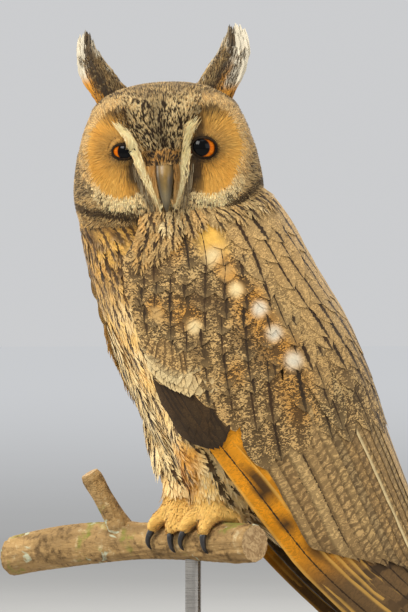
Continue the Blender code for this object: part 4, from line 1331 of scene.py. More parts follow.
LOOSE = [barbed_template(8, 0.26, contour_outline, 0.14, s) for s in range(4)]
DOWNY = [barbed_template(5, 0.36, lance_outline, 0.22, 10 + s) for s in range(4)]
SMALL = [vane_template(5, 3, contour_outline, 0.22, 20 + s) for s in range(5)]
COVERT = [vane_template(25, 11, contour_outline, 0.05, 30 + s) for s in range(6)]
FLIGHT = [vane_template(24, 7, flight_outline, 0.03, 40 + s) for s in range(3)]
TUFT = [vane_template(13, 5, contour_outline, 0.2, 50 + s) for s in range(5)]
BARB = [blade_template(4)]
LONG_BARB = [blade_template(6)]

loose_plume = plume_material("loose plumage", 1.0, 0.08, 0.49, 0.55, 0.12)
vane_plume = plume_material("scrawled vanes", 1.15, 0.045, 0.525, 1.1, 0.2, 0.05, 0.7)
flight_plume = plume_material("flight feathers", 0.85, 0.06, 0.52, 0.42, 0.25, 0.05, 0.62, 0.2)
tail_plume = plume_material("tail vanes", 1.0, 0.06, 0.48, 1.15, 0.3, 0.05, 0.62, 0.3)
primary_plume = plume_material("primaries", 0.8, 0.08, 0.47, 2.3, 0.35, 0.05, 0.6, 0.45)
fine_plume = plume_material("fine face plumage", 1.6, 0.12, 0.45, 0.8, 0.0)

# Side and height of the middle of the left facial disc, and how far it reaches each way
DISC_CENTRE = (21.5, -0.5)
DISC_REACH = (17.8, 22.5)


def brow_side(side, height):
    """The mirrored side of the brow's line at a height, on the same hand as side."""
    tables = {hand: np.array(BROWS[hand], float).T for hand in (1, -1)}
    return np.where(side > 0, np.interp(height, *tables[1]), np.interp(height, *tables[-1]))


def face_zone(side, height):
    """Mirrored side, reach over the disc, reach over the eye's opening and gap from the brow."""
    a = np.abs(side)
    tall = np.where(height < DISC_CENTRE[1], 1.13, 1.0) * DISC_REACH[1]
    reach = np.hypot((a - DISC_CENTRE[0]) / DISC_REACH[0], (height - DISC_CENTRE[1]) / tall)
    wide, tall = (np.where(side > 0, LID_SIZES[1][k], LID_SIZES[-1][k]) for k in (0, 1))
    x, y = a - EYE_OPENING[0], height - EYE_OPENING[1]
    eye = np.hypot(x / wide, (y + 0.10 * x) / tall)
    return a, reach, eye, a - brow_side(side, height)


# The line's heights at some sides
NECK_LINE = ((-46, -38, -19, 0, 20, 30, 38, 46), (-25, -28.5, -31.5, -34, -32, -29.5, -24.5, -17))


def neck_line(side, height, reach=2.0):
    """How near a place is to the dark line that parts the head from the neck, 1 on the line."""
    line = np.interp(side, *NECK_LINE)
    return 1 - ramp(np.abs(height - line), 0.4 * reach, reach)


def patch(a, height, middle, size, low=0.5, high=1.15):
    """How strongly an oval patch covers places of the face."""
    return 1 - ramp(np.hypot((a - middle[0]) / size[0], (height - middle[1]) / size[1]), low, high)


def disc_colour(side, height):
    """The colours of the facial disc: buff, smoky round the eyes and brows, whitish below, with painted
    shade beside the brows above the eyes.
    """
    a, reach, eye, brow = face_zone(side, height)
    tone = lattice(side / 6, height / 8, 3)
    colour = blend("buff", "orange", 0.15 + 0.5 * tone)
    colour = blend(colour, "tan", 0.55 * ramp(reach, 0.72, 1.0))
    colour = blend(colour, "brow", 0.6 * ramp(reach, 0.84, 0.98) * ramp(-height, 13, 20))
    colour = blend(colour, "brown", 0.50 * patch(a, height, (20, 0), (12, 9), 0.6, 1.2))
    colour = blend(colour, ink("dusky") * 0.55, 0.9 * patch(a, height, (22.0, 18.5), (14, 8.5), 0.2, 1.2))
    # painted shade of the raised brow: a dark patch beside it, above the eye
    colour = blend(colour, "dark", 0.85 * patch(a, height, (17.5, 9.0), (4.0, 6.0)) * ramp(brow, 0, 2.0))
    colour = blend(colour, "black", 0.9 * patch(a, height, (15.5, -9.0), (4.2, 7.0)))
    colour = blend(colour, "dark", 0.7 * patch(a, height, (13.0, -17.0), (2.6, 6.0)))
    beside = 0.75 * patch(a, height, (14.5, -15.5), (5.5, 8.0))
    colour = blend(colour, "dark", beside * np.where(side > 0, 1.0, 0.5))
    inward = ramp(EYE_OPENING[0] + 2 - a, -2, 3)
    colour = blend(colour, "black", 0.85 * (1 - ramp(eye, 1.05 + 0.1 * inward, 1.22 + 0.3 * inward)))
    lore = (1 - ramp(brow, 3.0, 6.0)) * ramp(-height, 4, 9)
    return blend(colour, ink("dusky") * 0.9, 0.85 * lore)


def from_eye(side, height):
    hand = np.sign(side)
    return side - hand * EYE_OPENING[0], height - EYE_OPENING[1] - 0.05 * np.abs(side)


def along_brow(way):
    """Along the brow's line, up and out above the eye's level or down beside the bill."""

    def flow(side, height):
        slope = (brow_side(side, height + 2) - brow_side(side, height - 2)) / 4
        stray = 0.7 * (lattice(side * 2.1, height * 0.7, 6) - 0.5)
        return np.sign(side) * slope * way + stray, way + 0 * side

    return flow


def beside_bill(side, height):
    return -0.16 * np.tanh(side / 3), -1.0 + 0 * side


def up_forehead(side, height):
    return side * 0.85, height + 24.0


def from_bill(points):
    """Away from the bill's root: up the forehead, over the crown and down the nape."""
    face = head_coordinates(points)[1]
    away = unit(points - head_place(0.0, 42.0, -8.0))
    fall = ramp(-face, -14, 20)[:, None] * -UP
    return unit(away + 0.9 * fall)


def strands(coat, side, height, flow, length, rows, lifts, half, colour, spread=0.1, tips=0.15, scales=()):
    """Lays single barbs over the face, each of one colour with a slightly paler tip.

    Length, and half the width where it varies, are given as their least and most.
    """
    rng = coat.rng
    number = len(side)
    length = rng.uniform(*length, number)
    for scale in scales:
        length = length * scale
    half = rng.uniform(*half, number) if isinstance(half, tuple) else half
    spine, up = face_trace(side, height, flow, length, rows, lifts)
    colour = varied(rng, same(colour, number), spread)
    look = {
        "ground": colour,
        "mark": colour * 0.6,
        "tip": with_strength(colour * 1.2, tips),
        "pattern": pattern(0, 0, 0.1),
    }
    kind = BARB if rows <= 4 else LONG_BARB
    coat.lay(kind, spine, up, half, head_bake(spine[:, 0]), look, 0.1, 0.3)


# The brows' layers: half width, lift, way of growth up or down, and seed
BROW_LAYERS = (
    (2.6, 1.0, 1, 15), (2.6, 1.0, -1, 16), (2.0, 2.0, -1, 17), (2.1, 2.0, 1, 18), (1.3, 2.6, 1, 19)
)


def thin_out(side, height, keep):
    return side[keep], height[keep]


def make_face():
    coat = Coat("face_feathers", 101)
    rng = coat.rng

    def in_disc(side, height):
        a, reach, eye, brow = face_zone(side, height)
        above = (height > 9) & (a > 15)
        return (reach < 0.95) & (eye > 1.12) & ((brow > 0.5) | (height < -20) | above) & (a > 4)

    # the silky disc, ray by ray from the eyes, and a finer ring close round each eye
    side, height = face_scatter(in_disc, 0.54, 11)
    _, reach, eye, _ = face_zone(side, height)
    short = (0.5 + 0.5 * ramp(eye, 1.2, 2.2), 1 - 0.5 * ramp(reach, 0.7, 0.95))
    colour = disc_colour(side, height)
    strands(
        coat, side, height, from_eye, (3.5, 6.5), 4, (0.1, 0.8), (0.17, 0.30), colour, 0.08, scales=short
    )
    near_eye = lambda s, h: (face_zone(s, h)[2] > 1.0) & (face_zone(s, h)[2] < 2.0)
    side, height = face_scatter(near_eye, 0.42, 12)
    colour = disc_colour(side, height)
    strands(coat, side, height, from_eye, (1.4, 2.8), 4, (0.45, 1.0), 0.16, colour, 0.2)

    # a few darker hairs where the disc is smoky
    side, height = face_scatter(in_disc, 1.2, 13)
    a = np.abs(side)
    likely = 0.7 * patch(a, height, (16, -8), (7, 9)) + 0.6 * patch(a, height, (20, 15), (9, 7))
    side, height = thin_out(side, height, rng.uniform(size=len(side)) < likely)
    strands(coat, side, height, from_eye, (3, 6), 4, (0.4, 1.3), 0.12, "dark", 0.4, 0)

    # pale chops under the disc, finely speckled black
    chops = lambda s, h: (patch(np.abs(s), h, (24, -27.5), (18, 9)) > 0.2) & (face_zone(s, h)[1] > 0.88)
    side, height = face_scatter(chops, 0.62, 14)
    number = len(side)
    white = patch(np.abs(side), height, (22, -27), (12, 5.5)) * np.where(side > 0, 1.0, 0.8)
    speck = lattice(side / 1.1, height / 1.0, 8)
    colour = blend("tan", "cream", rng.uniform(0.3, 1, number))
    colour = blend(colour * 0.9, "brow", 0.9 * white)
    colour = blend(colour, ink("dark") * 0.7, ramp(speck, 0.58, 0.66) * (1 - 0.75 * white))
    strands(coat, side, height, from_eye, (1.4, 2.4), 4, (0.3, 1.0), 0.32, colour, 0.12, 0.2)

    # the dark line that parts the head from the neck
    line = lambda s, h: (neck_line(s, h) > 0.4) & (np.abs(s) > 9)
    side, height = face_scatter(line, 0.75, 24)
    speck = lattice(side / 1.6, height / 1.6, 10)
    keep = rng.uniform(size=len(side)) < 0.25 + 0.70 * ramp(speck, 0.30, 0.55)
    side, height = thin_out(side, height, keep)
    strands(coat, side, height, from_eye, (1.6, 2.8), 4, (0.6, 1.7), 0.32, ink("dark") * 0.6, 0.4, 0)

    # the pale brows, a soft raised band
    for width, lift, way, seed in BROW_LAYERS:
        low, high = (-10, 9.5) if way > 0 else (-27, 0)
        wider = lambda s, h: width * (1 - 0.35 * ramp(-h, 8, 20) + 0.45 * ramp(h, 0, 9) * (s > 0))
        band = lambda s, h: (np.abs(face_zone(s, h)[3] - 0.2) < wider(s, h)) & (h < high + 2.5) & (h > low)
        side, height = face_scatter(band, 0.56, seed)
        keep = rng.uniform(size=len(side)) > ramp(height, high - 4, high + 2.5)
        side, height = thin_out(side, height, keep)
        brow = face_zone(side, height)[3]
        number = len(side)
        colour = blend("brow", "white", rng.uniform(0.0, 0.4, number))
        colour = blend(colour, "tan", rng.uniform(0, 1, number) * ramp(np.abs(brow), 0.6, 2.2))
        near_lid = 1.2 * (side < 0) * (1 - ramp(np.abs(height + 1), 4, 9))
        lifts = (0.3 + near_lid, lift + near_lid)
        strands(coat, side, height, along_brow(way), (3.6, 5.8), 6, lifts, (0.18, 0.30), colour, 0.08)

    # bristles beside the bill: ochre within the brow's line, grey beyond it
    beside = lambda s, h: np.abs(s - BILL_SIDE) > 4.3 - 0.12 * np.maximum(-h - 14, 0)
    lore = lambda s, h: beside(s, h) & (face_zone(s, h)[3] < 5.0) & (h < -6) & (h > -27)
    for spacing, short, long, lift, seed in ((0.6, 4.5, 7, 0.9, 18), (0.8, 6, 9, 1.8, 19)):
        side, height = face_scatter(lore, spacing, seed)
        brow = face_zone(side, height)[3]
        number = len(side)
        grey = ramp(brow, 0.6, 2.0)
        tan = rng.uniform(0.0, 0.6, number) + 0.4 * ramp(-height, 12, 20)
        colour = blend(ink("orange") * 0.62, "tan", tan)
        colour = blend(colour, blend("dusky", ink("pale_grey") * 0.85, rng.uniform(0.0, 0.8, number)), grey)
        colour = blend(colour, "cream", 0.9 * (1 - ramp(np.abs(brow), 0.8, 1.7)))
        colour = blend(colour, "dark", (rng.uniform(size=number) < 0.22) * 0.8 * ramp(brow, 0.6, 2.5))
        strands(coat, side, height, beside_bill, (short, long), 6, (0.3, lift), (0.13, 0.22), colour, 0.15)

    # the forehead: dark feathers under fine flecks of cream and dark that fan out from the bill
    forehead = lambda s, h: (face_zone(s, h)[3] < -0.6) & (h > -9) & (h < 26) & (np.abs(s) < 25)
    side, height = face_scatter(forehead, 0.9, 21)
    side, height = thin_out(side, height, rng.uniform(size=len(side)) > ramp(np.abs(side), 15, 22))
    strands(coat, side, height, up_forehead, (2.5, 3.5), 4, (0.1, 0.8), 0.5, ink("dark") * 0.75, 0.3, 0)
    side, height = face_scatter(forehead, 0.37, 22)
    side, height = thin_out(side, height, rng.uniform(size=len(side)) > ramp(np.abs(side), 14, 25))
    number = len(side)
    turn, far = np.arctan2(side * 0.85, height + 24.0) * 34, np.hypot(side, height + 24.0)
    clump = 0.75 * lattice(turn / 0.44 + 0.3 * far, far / 0.95, 5)
    clump = clump + 0.25 * lattice(turn / 2.6, far / 3.5, 6)
    clump = clump + 0.12 * ramp(height, 9, 20)
    light = ramp(clump, 0.49, 0.61) * (1 - 0.6 * patch(np.abs(side), height, (20, 17), (8, 8), 0.2, 1.2))
    middle = 1 - ramp(np.abs(side + 0.16 * height) / (2.2 + 0.10 * np.maximum(height + 9, 0)), 0.5, 1.3)
    light = light * (1 - 0.5 * middle * ramp(height, -4, 4))
    pale = blend("sand", "cream", rng.uniform(0, 0.9, number))
    pale = blend(pale, ink("orange") * 0.6, (1 - ramp(np.abs(height + 5.5), 2.5, 5.0)) * 0.85)
    colour = blend(ink("dark") * 0.7, pale, light)
    strands(coat, side, height, up_forehead, (1.1, 1.9), 4, (0.5, 1.3), (0.13, 0.21), colour, 0.15)

    # the chin
    chin = lambda s, h: (h < -25) & (h > -36) & (np.abs(s) < 15) & (np.abs(s - BILL_SIDE) > 2.0)
    side, height = face_scatter(chin, 0.7, 23)
    number = len(side)
    speck = lattice(side / 1.5, height / 1.5, 9)
    colour = blend("tan", "cream", rng.uniform(0, 0.7, number))
    colour = blend(colour, ink("orange") * 0.7, 0.5 * (1 - ramp(np.abs(side), 5, 10)))
    colour = blend(colour, "black", ramp(speck, 0.42, 0.52) * 0.95)
    strands(coat, side, height, beside_bill, (2.2, 3.6), 4, (0.3, 1.3), 0.30, colour, 0.15)
    coat.build(fine_plume)


middle_side, middle_face, middle_height = head_coordinates(face_middle)
middle_reach = face_zone(middle_side, middle_height)[1]
on_head = (face_node <= 1) & (middle_height > -40)
in_rim = on_head & (middle_face > -6) & (middle_reach >= 0.86) & (middle_reach < 1.42)
in_rim &= middle_height < 25
in_rim &= (np.abs(middle_side) > 15) | (middle_height < -20)
rest_of_head = on_head & ((middle_reach > 1.18) | (middle_face < 2)) & (middle_height > -36)
rest_of_head &= ~((middle_face > 14) & (np.abs(middle_side) < 14) & (middle_height < 22))


def tipped(rng, number, share, strength):
    """A strength for a random share of the feathers, and none for the others."""
    return (rng.uniform(size=number) < share) * strength


def make_crown():
    coat = Coat("head_feathers", 102)
    rng = coat.rng

    # the ruff of small stiff feathers round the disc
    def outwards(p):
        hand = np.sign(head_coordinates(p)[0])
        middle = head_place(hand * DISC_CENTRE[0], 20.0, DISC_CENTRE[1])
        return unit(unit(p - middle) + 0.4 * -UP)

    roots = scatter(in_rim, 0.95, 22)
    side, face, height = head_coordinates(roots)
    reach = face_zone(side, height)[1]
    number = len(roots)
    spine, up = trace(roots, outwards, rng.uniform(2.8, 4.2, number), 4, (0.3, 1.0))
    outer = ramp(reach, 1.0, 1.3)
    low = ramp(-height, 10, 20)
    ground = blend("tan", ink("sand") * 0.85, outer)
    ground = blend(ground, "cream", 0.7 * low * (1 - 0.7 * outer))
    speck = lattice(side / 1.5 + face / 1.5, height / 1.5, 4)
    ground = blend(ground, "dark", ramp(speck, 0.58, 0.68) * (0.45 + 0.4 * low) * ramp(reach, 0.92, 1.02))
    line = neck_line(side, height)
    ground = blend(ground, "black", line * 0.9)
    look = {
        "ground": varied(rng, ground, 0.15),
        "mark": ink("dark"),
        "tip": with_strength(
            varied(rng, blend("sand", "cream", low), 0.15), tipped(rng, number, 0.3, 0.4) * (1 - line)
        ),
        "pattern": pattern(0.1, 0, 0.3),
    }
    coat.lay(SMALL, spine, up, (0.6, 0.9), head_bake(roots), look, 0.2, 0.25)

    # crown, sides and nape: small mottled feathers under fine flecks
    def head_look(roots, dark_share, size, seed):
        side, face, height = head_coordinates(roots)
        back = ramp(-face, -14, 12)
        ground = blend("grey_brown", "sand", 0.5 + 0.5 * waves(roots, 10, 7))
        ground = blend(ground, "buff", 0.35 * back)
        smudge = patch(np.abs(side), height, (23.0, 20), (12.5, 6.5)) * ramp(face, 0, 8)
        clump = 0.5 + 0.5 * waves(roots, size, seed)
        nape = ramp(-height, 18, 26)
        ground = blend(ground, "tan", 0.8 * nape)
        ground = blend(ground, "dark", ramp(clump, 0.48, 0.60) * dark_share * (1 - 0.4 * nape))
        ground = blend(ground, ink("dusky") * 0.5, 0.85 * smudge)
        ground = blend(ground, ink("dark") * 0.6, 0.85 * neck_line(side, height, 3.0) * ramp(face, -16, -4))
        return varied(rng, ground, 0.14), back, smudge

    roots = scatter(rest_of_head, lambda p: 1.7 + 1.0 * ramp(-head_coordinates(p)[1], -16, 20), 23)
    number = len(roots)
    ground, back, smudge = head_look(roots, 0.5, 5.0, 31)
    spine, up = trace(roots, from_bill, rng.uniform(5.0, 6.5, number) + 5 * back, 5, (0.2, 1.2))
    look = {
        "ground": ground,
        "mark": varied(rng, same("dark", number), 0.3),
        "tip": with_strength(
            varied(rng, same("sand", number), 0.15), tipped(rng, number, 0.5, 0.5) * (1 - smudge)
        ),
        "pattern": pattern(0.24, 0, 0.7),
    }
    coat.lay(DOWNY, spine, up, rng.uniform(1.3, 1.8, number) + 0.9 * back, head_bake(roots), look, 0.2, 0.2)
    roots = scatter(rest_of_head & (middle_face > -10), 0.8, 24)
    number = len(roots)
    ground, back, smudge = head_look(roots, 0.85, 3.2, 32)
    spine, up = trace(roots, from_bill, rng.uniform(1.8, 3.2, number), 4, (0.7, 1.6))
    look = {
        "ground": ground, "mark": ground * 0.6, "tip": with_strength(ground, 0),
        "pattern": pattern(0, 0, 0.1),
    }
    coat.lay(BARB, spine, up, (0.24, 0.36), head_bake(roots), look, 0.1, 0.3)
    coat.build(loose_plume)


make_face()
make_crown()


# Neck, breast, belly, back and legs

on_body = ((face_node == 1) & ~on_head) | (face_node == 2) | ((face_node <= 1) & (middle_height <= -30))
on_thigh = (face_node == 3) | (face_node == 4)
on_foot = (face_node == 5) | (face_node == 6)


def down_body(points):
    """Down the body from the neck, and out and back round its sides."""
    away = points / MM - AXIS_TOP
    depth = away @ TO_BACK
    along = away @ DOWN_AXIS
    way = DOWN_AXIS - 0.35 * UP * (1 - ramp(along, 40, 110))[:, None]
    breast = ramp(-depth, 0, 30)[:, None]
    return unit(way + breast * (0.16 * np.tanh(away[:, :1] / 12) * LEFT + 0.05 * TO_BACK))


def with_thigh_patch(ground):
    """The orange patch over the shin, laid on by the places of the feathers' own points."""

    def colours(at, pick):
        over = 1 - ramp(np.abs(at @ np.array((0.26, 0.97, 0)) / MM + 25.5), 4, 8.5)
        over = over * (1 - ramp(np.abs(at[..., 2] / MM - 147), 9, 16))
        return blend(np.broadcast_to(ground[pick][:, None], at.shape), ink("orange"), 0.9 * over)

    return colours


def mottled(ground, strength):
    """Brown mottling by the places of the feathers' own points."""

    def colours(at, pick):
        return blend(
            ground[pick][:, None], ink("brown") * 0.6, strength * ramp(waves(at, 9, 21), -0.1, 0.5)
        )

    return colours


def with_throat_blotches(ground, throat):
    """Dark and golden blotches over the throat, by the places of the feathers' own points."""
    below = with_thigh_patch(ground)

    def colours(at, pick):
        tone = waves(at, 8, 22)
        strength = throat[pick][:, None]
        colour = blend(below(at, pick), ink("brown") * 0.6, 0.75 * strength * ramp(tone, 0.0, 0.45))
        return blend(colour, "yellow", 0.5 * strength * ramp(-tone, 0.1, 0.5))

    return colours


def body_look(roots, rng):
    away = roots / MM - AXIS_TOP
    along, depth = away @ DOWN_AXIS, away @ TO_BACK
    throat = 1 - ramp(along, 52, 84)
    back = ramp(depth, 4, 26)
    vent = ramp(along, 180, 225) * (1 - back)
    tone = 0.5 + 0.5 * waves(roots, 26, 9)
    ground = blend("cream", "white", 0.2 * tone)
    ground = blend(ground, "yellow", 0.25 + 0.4 * (1 - tone) + 0.15 * (1 - ramp(along, 80, 130))) * 1.08
    ground = blend(ground, ink("orange") * 0.95, throat * (0.25 + 0.6 * tone))
    ground = blend(ground, "cream", 0.4 * vent)
    ground = blend(ground, blend("grey_brown", "sand", tone), back * 0.9)
    return throat, back, vent, varied(rng, ground, 0.10), along


def make_body_feathers():
    coat = Coat("body_feathers", 103)
    rng = coat.rng
    roots = scatter(on_body, 4.1, 31)
    number = len(roots)
    throat, back, vent, ground, along = body_look(roots, rng)
    length = 17 + 8 * ramp(along, 50, 100) + rng.uniform(-1.5, 1.5, number) - 3 * vent
    spine, up = trace(roots, down_body, length, 6, (0.3, 2.2))
    blotch = ramp(waves(roots, 10, 21), 0.0, 0.5) * throat
    blotch = blotch * ramp(-(roots / MM - AXIS_TOP) @ TO_BACK, -5, 15)
    ground = blend(ground, ink("brown") * 0.7, 0.3 * blotch)
    mark = blend("dark", "brown", 0.6 * rng.uniform(0, 1, number))
    streak = 0.18 * (1 - vent) + 0.12 * throat
    streak = streak * rng.uniform(0.7, 1.4, number) * (1 - (rng.uniform(size=number) < 0.15) * (1 - back))
    look = {
        "ground": with_throat_blotches(ground, throat),
        "mark": varied(rng, mark, 0.2),
        "tip": with_strength(varied(rng, blend(ground, "white", 0.3), 0.08), 0.4 * (1 - 0.7 * back)),
        "pattern": pattern(streak, 0, 0.20 + 0.70 * back + 0.25 * throat),
    }
    half = 5.0 + 1.2 * ramp(along, 60, 120) - 1.2 * throat - 1.0 * vent
    coat.lay(LOOSE, spine, up, half * rng.uniform(0.85, 1.15, number), body_bake(roots), look, 0.22, 0.10)

    # looser flank feathers that fill the gap to the far wing's edge
    away = face_middle / MM - AXIS_TOP
    side, depth, along = away[:, 0], away @ TO_BACK, away @ DOWN_AXIS
    far_flank = on_body & (side < 4) & (depth < -8) & (along > 92) & (along < 214)
    # and longer ones of the neck's side that bridge to the far wing's top
    far_neck = (face_node <= 2) & (side < -8) & (np.abs(along - 46) < 16) & (depth > -20)
    for place, lifts, neck, seed in (
        (far_flank, (1.0, 3.0), 0.0, 32),
        (far_flank, (2.2, 5.0), 0.0, 33),
        (far_neck, (0.5, 6.0), 1.0, 34),
        (far_neck, (1.5, 9.5), 1.0, 35),
    ):
        roots = scatter(place, 4.4, seed)
        number = len(roots)
        ground = body_look(roots, rng)[3]
        # paler than the rest of the body: partly their own pale colour, partly painted light that brightens
        # them in the shade where they lie
        ground = blend(blend(ground, "cream", 0.4), ink("tan"), 0.6 * neck)
        spine, up = trace(roots, down_body, rng.uniform(20, 26, number) + 5 * neck, 6, lifts)
        look = {
            "ground": mottled(ground, 0.8 * neck),
            "mark": varied(rng, same("dark", number), 0.2),
            "tip": with_strength("cream", 0.3),
            "pattern": pattern(rng.uniform(0.08, 0.24, number) + 0.1 * neck, 0, 0.2 + 0.6 * neck),
        }
        coat.lay(LOOSE, spine, up, (4.6, 5.8), body_bake(roots), look, 0.2, 0.1)
    coat.build(loose_plume)


def down_leg(points):
    return np.broadcast_to(unit(np.array((0.0, 0.12, -1.0))), points.shape)


FOOT_MIDDLES = np.array(((12.1, -16.5, 124.0), (-7.8, -28.0, 124.0))) * MM


def out_foot(points):
    """Down the shank, and out from the palm along each toe."""
    gap = np.linalg.norm(points[:, None] - FOOT_MIDDLES[None], axis=2)
    middle = FOOT_MIDDLES[np.argmin(gap, 1)]
    out = unit((points - middle) * np.array((1, 1, 0.35)))
    down = ramp(points[:, 2] / MM, 127, 134)[:, None]
    return unit(out * (1 - down) - UP * (down + 0.25))


def make_leg_feathers():
    coat = Coat("leg_feathers", 104)
    rng = coat.rng
    roots = scatter(on_thigh, 1.9, 41)
    number = len(roots)
    spine, up = trace(roots, down_leg, rng.uniform(8, 11, number), 5, (0.3, 1.8))
    ground = blend("toe", "cream", rng.uniform(0, 0.9, number))
    look = {
        "ground": with_thigh_patch(varied(rng, ground, 0.10)),
        "mark": ink("brown"),
        "tip": with_strength(varied(rng, same("cream", number), 0.08), 0.3),
        "pattern": pattern((rng.uniform(size=number) < 0.12) * 0.12, 0, 0.1),
    }
    coat.lay(DOWNY, spine, up, (1.4, 2.1), body_bake(roots), look, 0.25, 0.15)
    roots = scatter(on_foot, 0.85, 42)
    number = len(roots)
    spine, up = trace(roots, out_foot, rng.uniform(2.0, 3.4, number), 4, (0.1, 0.7))
    ground = blend("toe", "buff", 0.25 + 0.25 * waves(roots, 8, 4))
    look = {
        "ground": varied(rng, ground, 0.07),
        "mark": ink("brown"),
        "tip": with_strength("toe", 0.3),
        "pattern": pattern(0, 0, 0.08),
    }
    coat.lay(SMALL, spine, up, (0.45, 0.65), body_bake(roots), look, 0.2, 0.2)
    coat.build(fine_plume)


make_body_feathers()
make_leg_feathers()


def colour_skin():
    """The skin takes the markings of the feathers that stand on it."""
    side, face, height = head_coordinates(skin_at)
    _, reach, _, brow = face_zone(side, height)
    which = nearest_node(skin_at, SKIN_NODES)
    away = skin_at / MM - AXIS_TOP
    back = ramp(away @ TO_BACK, 8, 30)
    ground = blend(ink("sand") * 0.75, ink("brown"), back)
    head_ground = blend("brown", disc_colour(side, height) * 0.8, (face > 6) & (reach < 1.03))
    head_ground = blend(head_ground, "dark", (brow < 0.3) & (height > -10) & (height < 24) & (face > 6))
    ground = np.where((which == 0)[:, None], head_ground, ground)
    ground = np.where((which >= 3)[:, None], ink("toe") * 0.8, ground)
    store(skin.data, "ground", "FLOAT_COLOR", "color", ground)


colour_skin()
hand_over(skin, SKIN_NODES)


# The folded wings

# Pale spots on the wing: along, share, reach in millimetres and colour
SPOTS = (
    (71, 0.47, 12.0, "yellow"),
    (80, 0.45, 11.0, "yellow"),
    (83, 0.435, 8.5, "tan"),
    (84, 0.43, 6.5, "cream"),
    (94, 0.45, 6.0, "tan"),
    (103, 0.455, 6.2, "cream"),
    (117, 0.505, 6.6, "white"),
    (131, 0.505, 6.8, "white"),
    (147.5, 0.51, 7.6, "white"),
    (110, 0.24, 6.0, "cream"),
    (96, 0.08, 5.0, "tan"),
)
# Warm and dark patches in the same way
GLOWS = (
    (110, 0.47, 14), (124, 0.46, 14), (140, 0.47, 14), (158, 0.45, 16), (172, 0.42, 12), (100, 0.2, 12),
    (140, 0.30, 9), (68, 0.3, 12),
)
SHADES = ((74, 0.10, 11), (98, 0.30, 11), (106, 0.38, 9), (126, 0.40, 9), (138, 0.42, 8), (122, 0.20, 8))


def wing_gap(points, along, share, hand):
    return np.linalg.norm(points - wing_place(np.array(float(along)), share, hand), axis=-1)


def wing_colour(hand, base):
    """Colours for points of the wing: a base with its pale spots and warm patches laid over."""

    def colours(at, pick):
        points = at / MM
        tone = 0.5 + 0.5 * waves(at, 30, 12)
        colour = blend(base[pick][:, None], "tan", 0.35 + 0.5 * tone)
        for patches, name, strength, core in ((GLOWS, "orange", 0.55, 0.2), (SHADES, "dusky", 0.6, 0.3)):
            for along, share, reach in patches:
                gap = wing_gap(points, along, share, hand) / reach
                colour = blend(colour, name, strength * (1 - ramp(gap, core, 1.1)))
        for along, share, reach, name in SPOTS:
            gap = wing_gap(points, along, share, hand) / reach
            above = wing_gap(points, along - 0.6 * reach, share, hand) / reach
            colour = blend(colour, "orange", 0.6 * (along > 90) * (1 - ramp(above, 0.4, 1.5)))
            colour = blend(colour, ink(name) * 0.95, 1 - ramp(gap, 0.15, 1.0))
        # the far wing's lower edge painted cream like the flank before it: painted light that makes the
        # shaded edge read as lit
        if hand < 0:
            colour = blend(colour, "cream", ramp((AXIS_TOP - points) @ TO_BACK, 36, 42))
        return colour

    return colours


def wing_strength(hand, streak, scrawls):
    """The strength of streaks and scrawls at points of the wing: less on the pale spots."""

    def strengths(at, pick):
        points = at / MM
        keep = np.ones(points.shape[:-1])
        for along, share, reach, _ in SPOTS:
            keep = np.minimum(keep, 0.15 + ramp(wing_gap(points, along, share, hand) / reach, 0.35, 1.05))
        # the same painted light: the streaks and scrawls mostly taken off the far wing's lower edge
        if hand < 0:
            keep = keep * (1 - 0.8 * ramp((AXIS_TOP - points) @ TO_BACK, 36, 42))
        streaks = streak[pick][:, None] * (0.15 + 0.85 * keep)
        return np.stack([streaks, 0 * keep, scrawls[pick][:, None] * keep], -1)

    return strengths


def wing_spines(roots, tips, rows, hand, lifts, bow=0.0):
    """Spines over the wing's sheet from (along, share) roots to tips, lifted off it in mm."""
    t = np.linspace(0, 1, rows)[None]
    along = roots[:, :1] + (tips[:, :1] - roots[:, :1]) * t
    share = roots[:, 1:] + (tips[:, 1:] - roots[:, 1:]) * t + bow * np.sin(math.pi * t)
    up = wing_up(along, share, hand)
    low, high = [np.broadcast_to(np.asarray(v, float), (len(roots),))[:, None] for v in lifts]
    lift = low + (high - low) * t**1.1
    return (wing_place(along, share, hand) + up * lift[..., None]) * MM, up


WING_LEAN = 0.0036


def share_slope(share):
    """How fast a feather's share of the wing falls down its length: steepest low on the wing."""
    return -WING_LEAN * (1 - ramp(share, 0.5, 0.78))


def covert_rows():
    """Rows of coverts as (first along, its step over the shares, first share, last, length, half, lift)."""
    rows = []
    for at in np.arange(60, 126, 7.0):
        rows.append((at, 6.0, 0.12 if at > 112 else 0.0, 0.68, 20 + 0.09 * (at - 54), 7.2, (-0.7, 0.8)))
    rows.append((112, 10.0, 0.11, 0.80, 32, 7.6, (-0.8, 0.6)))
    rows.append((126, 12.0, 0.15, 0.86, 38, 7.9, (-0.8, 0.5)))
    rows.append((142, 10.0, 0.18, 0.90, 44, 8.4, (-0.9, 0.5)))
    for at in np.arange(58, 150, 9.5):
        rows.append((at, 4.0, 0.64, 1.0, 30 + 0.30 * (at - 54), 8.2, (-0.4, 1.1)))
    return rows


# The sheet inside the wing: its ends, its edges and how deep its two faces lie under the feathers
CORE_ALONG = (58, 330)
CORE_SHARES = (0.09, 0.97)
CORE_FACES = (-2.2, -3.8)
# Rows of the alula: alongs and shares of its roots and of its tips, number, lift, colour and scrawls
ALULA = (
    (
        ((113, 117, 123, 130), (0.02, 0.08, 0.14, 0.20)), ((121, 134, 141, 143), (-0.05, 0.01, 0.09, 0.20)),
        15, 1.6, "cream", 0.30,
    ),
    (
        ((110, 113, 118, 124), (0.02, 0.08, 0.14, 0.20)), ((116, 129, 137, 139), (-0.04, 0.01, 0.09, 0.20)),
        14, 2.2, "cream", 0.35,
    ),
    (
        ((105, 107, 111, 116), (0.02, 0.08, 0.14, 0.19)), ((111, 122, 130, 131), (-0.04, 0.01, 0.08, 0.18)),
        13, 2.5, "tan", 0.85,
    ),
)


def row_of(u, at, alongs, shares):
    """(along, share) places on a curve through stations."""
    return np.stack([np.interp(u, at, alongs), np.interp(u, at, shares)], 1)


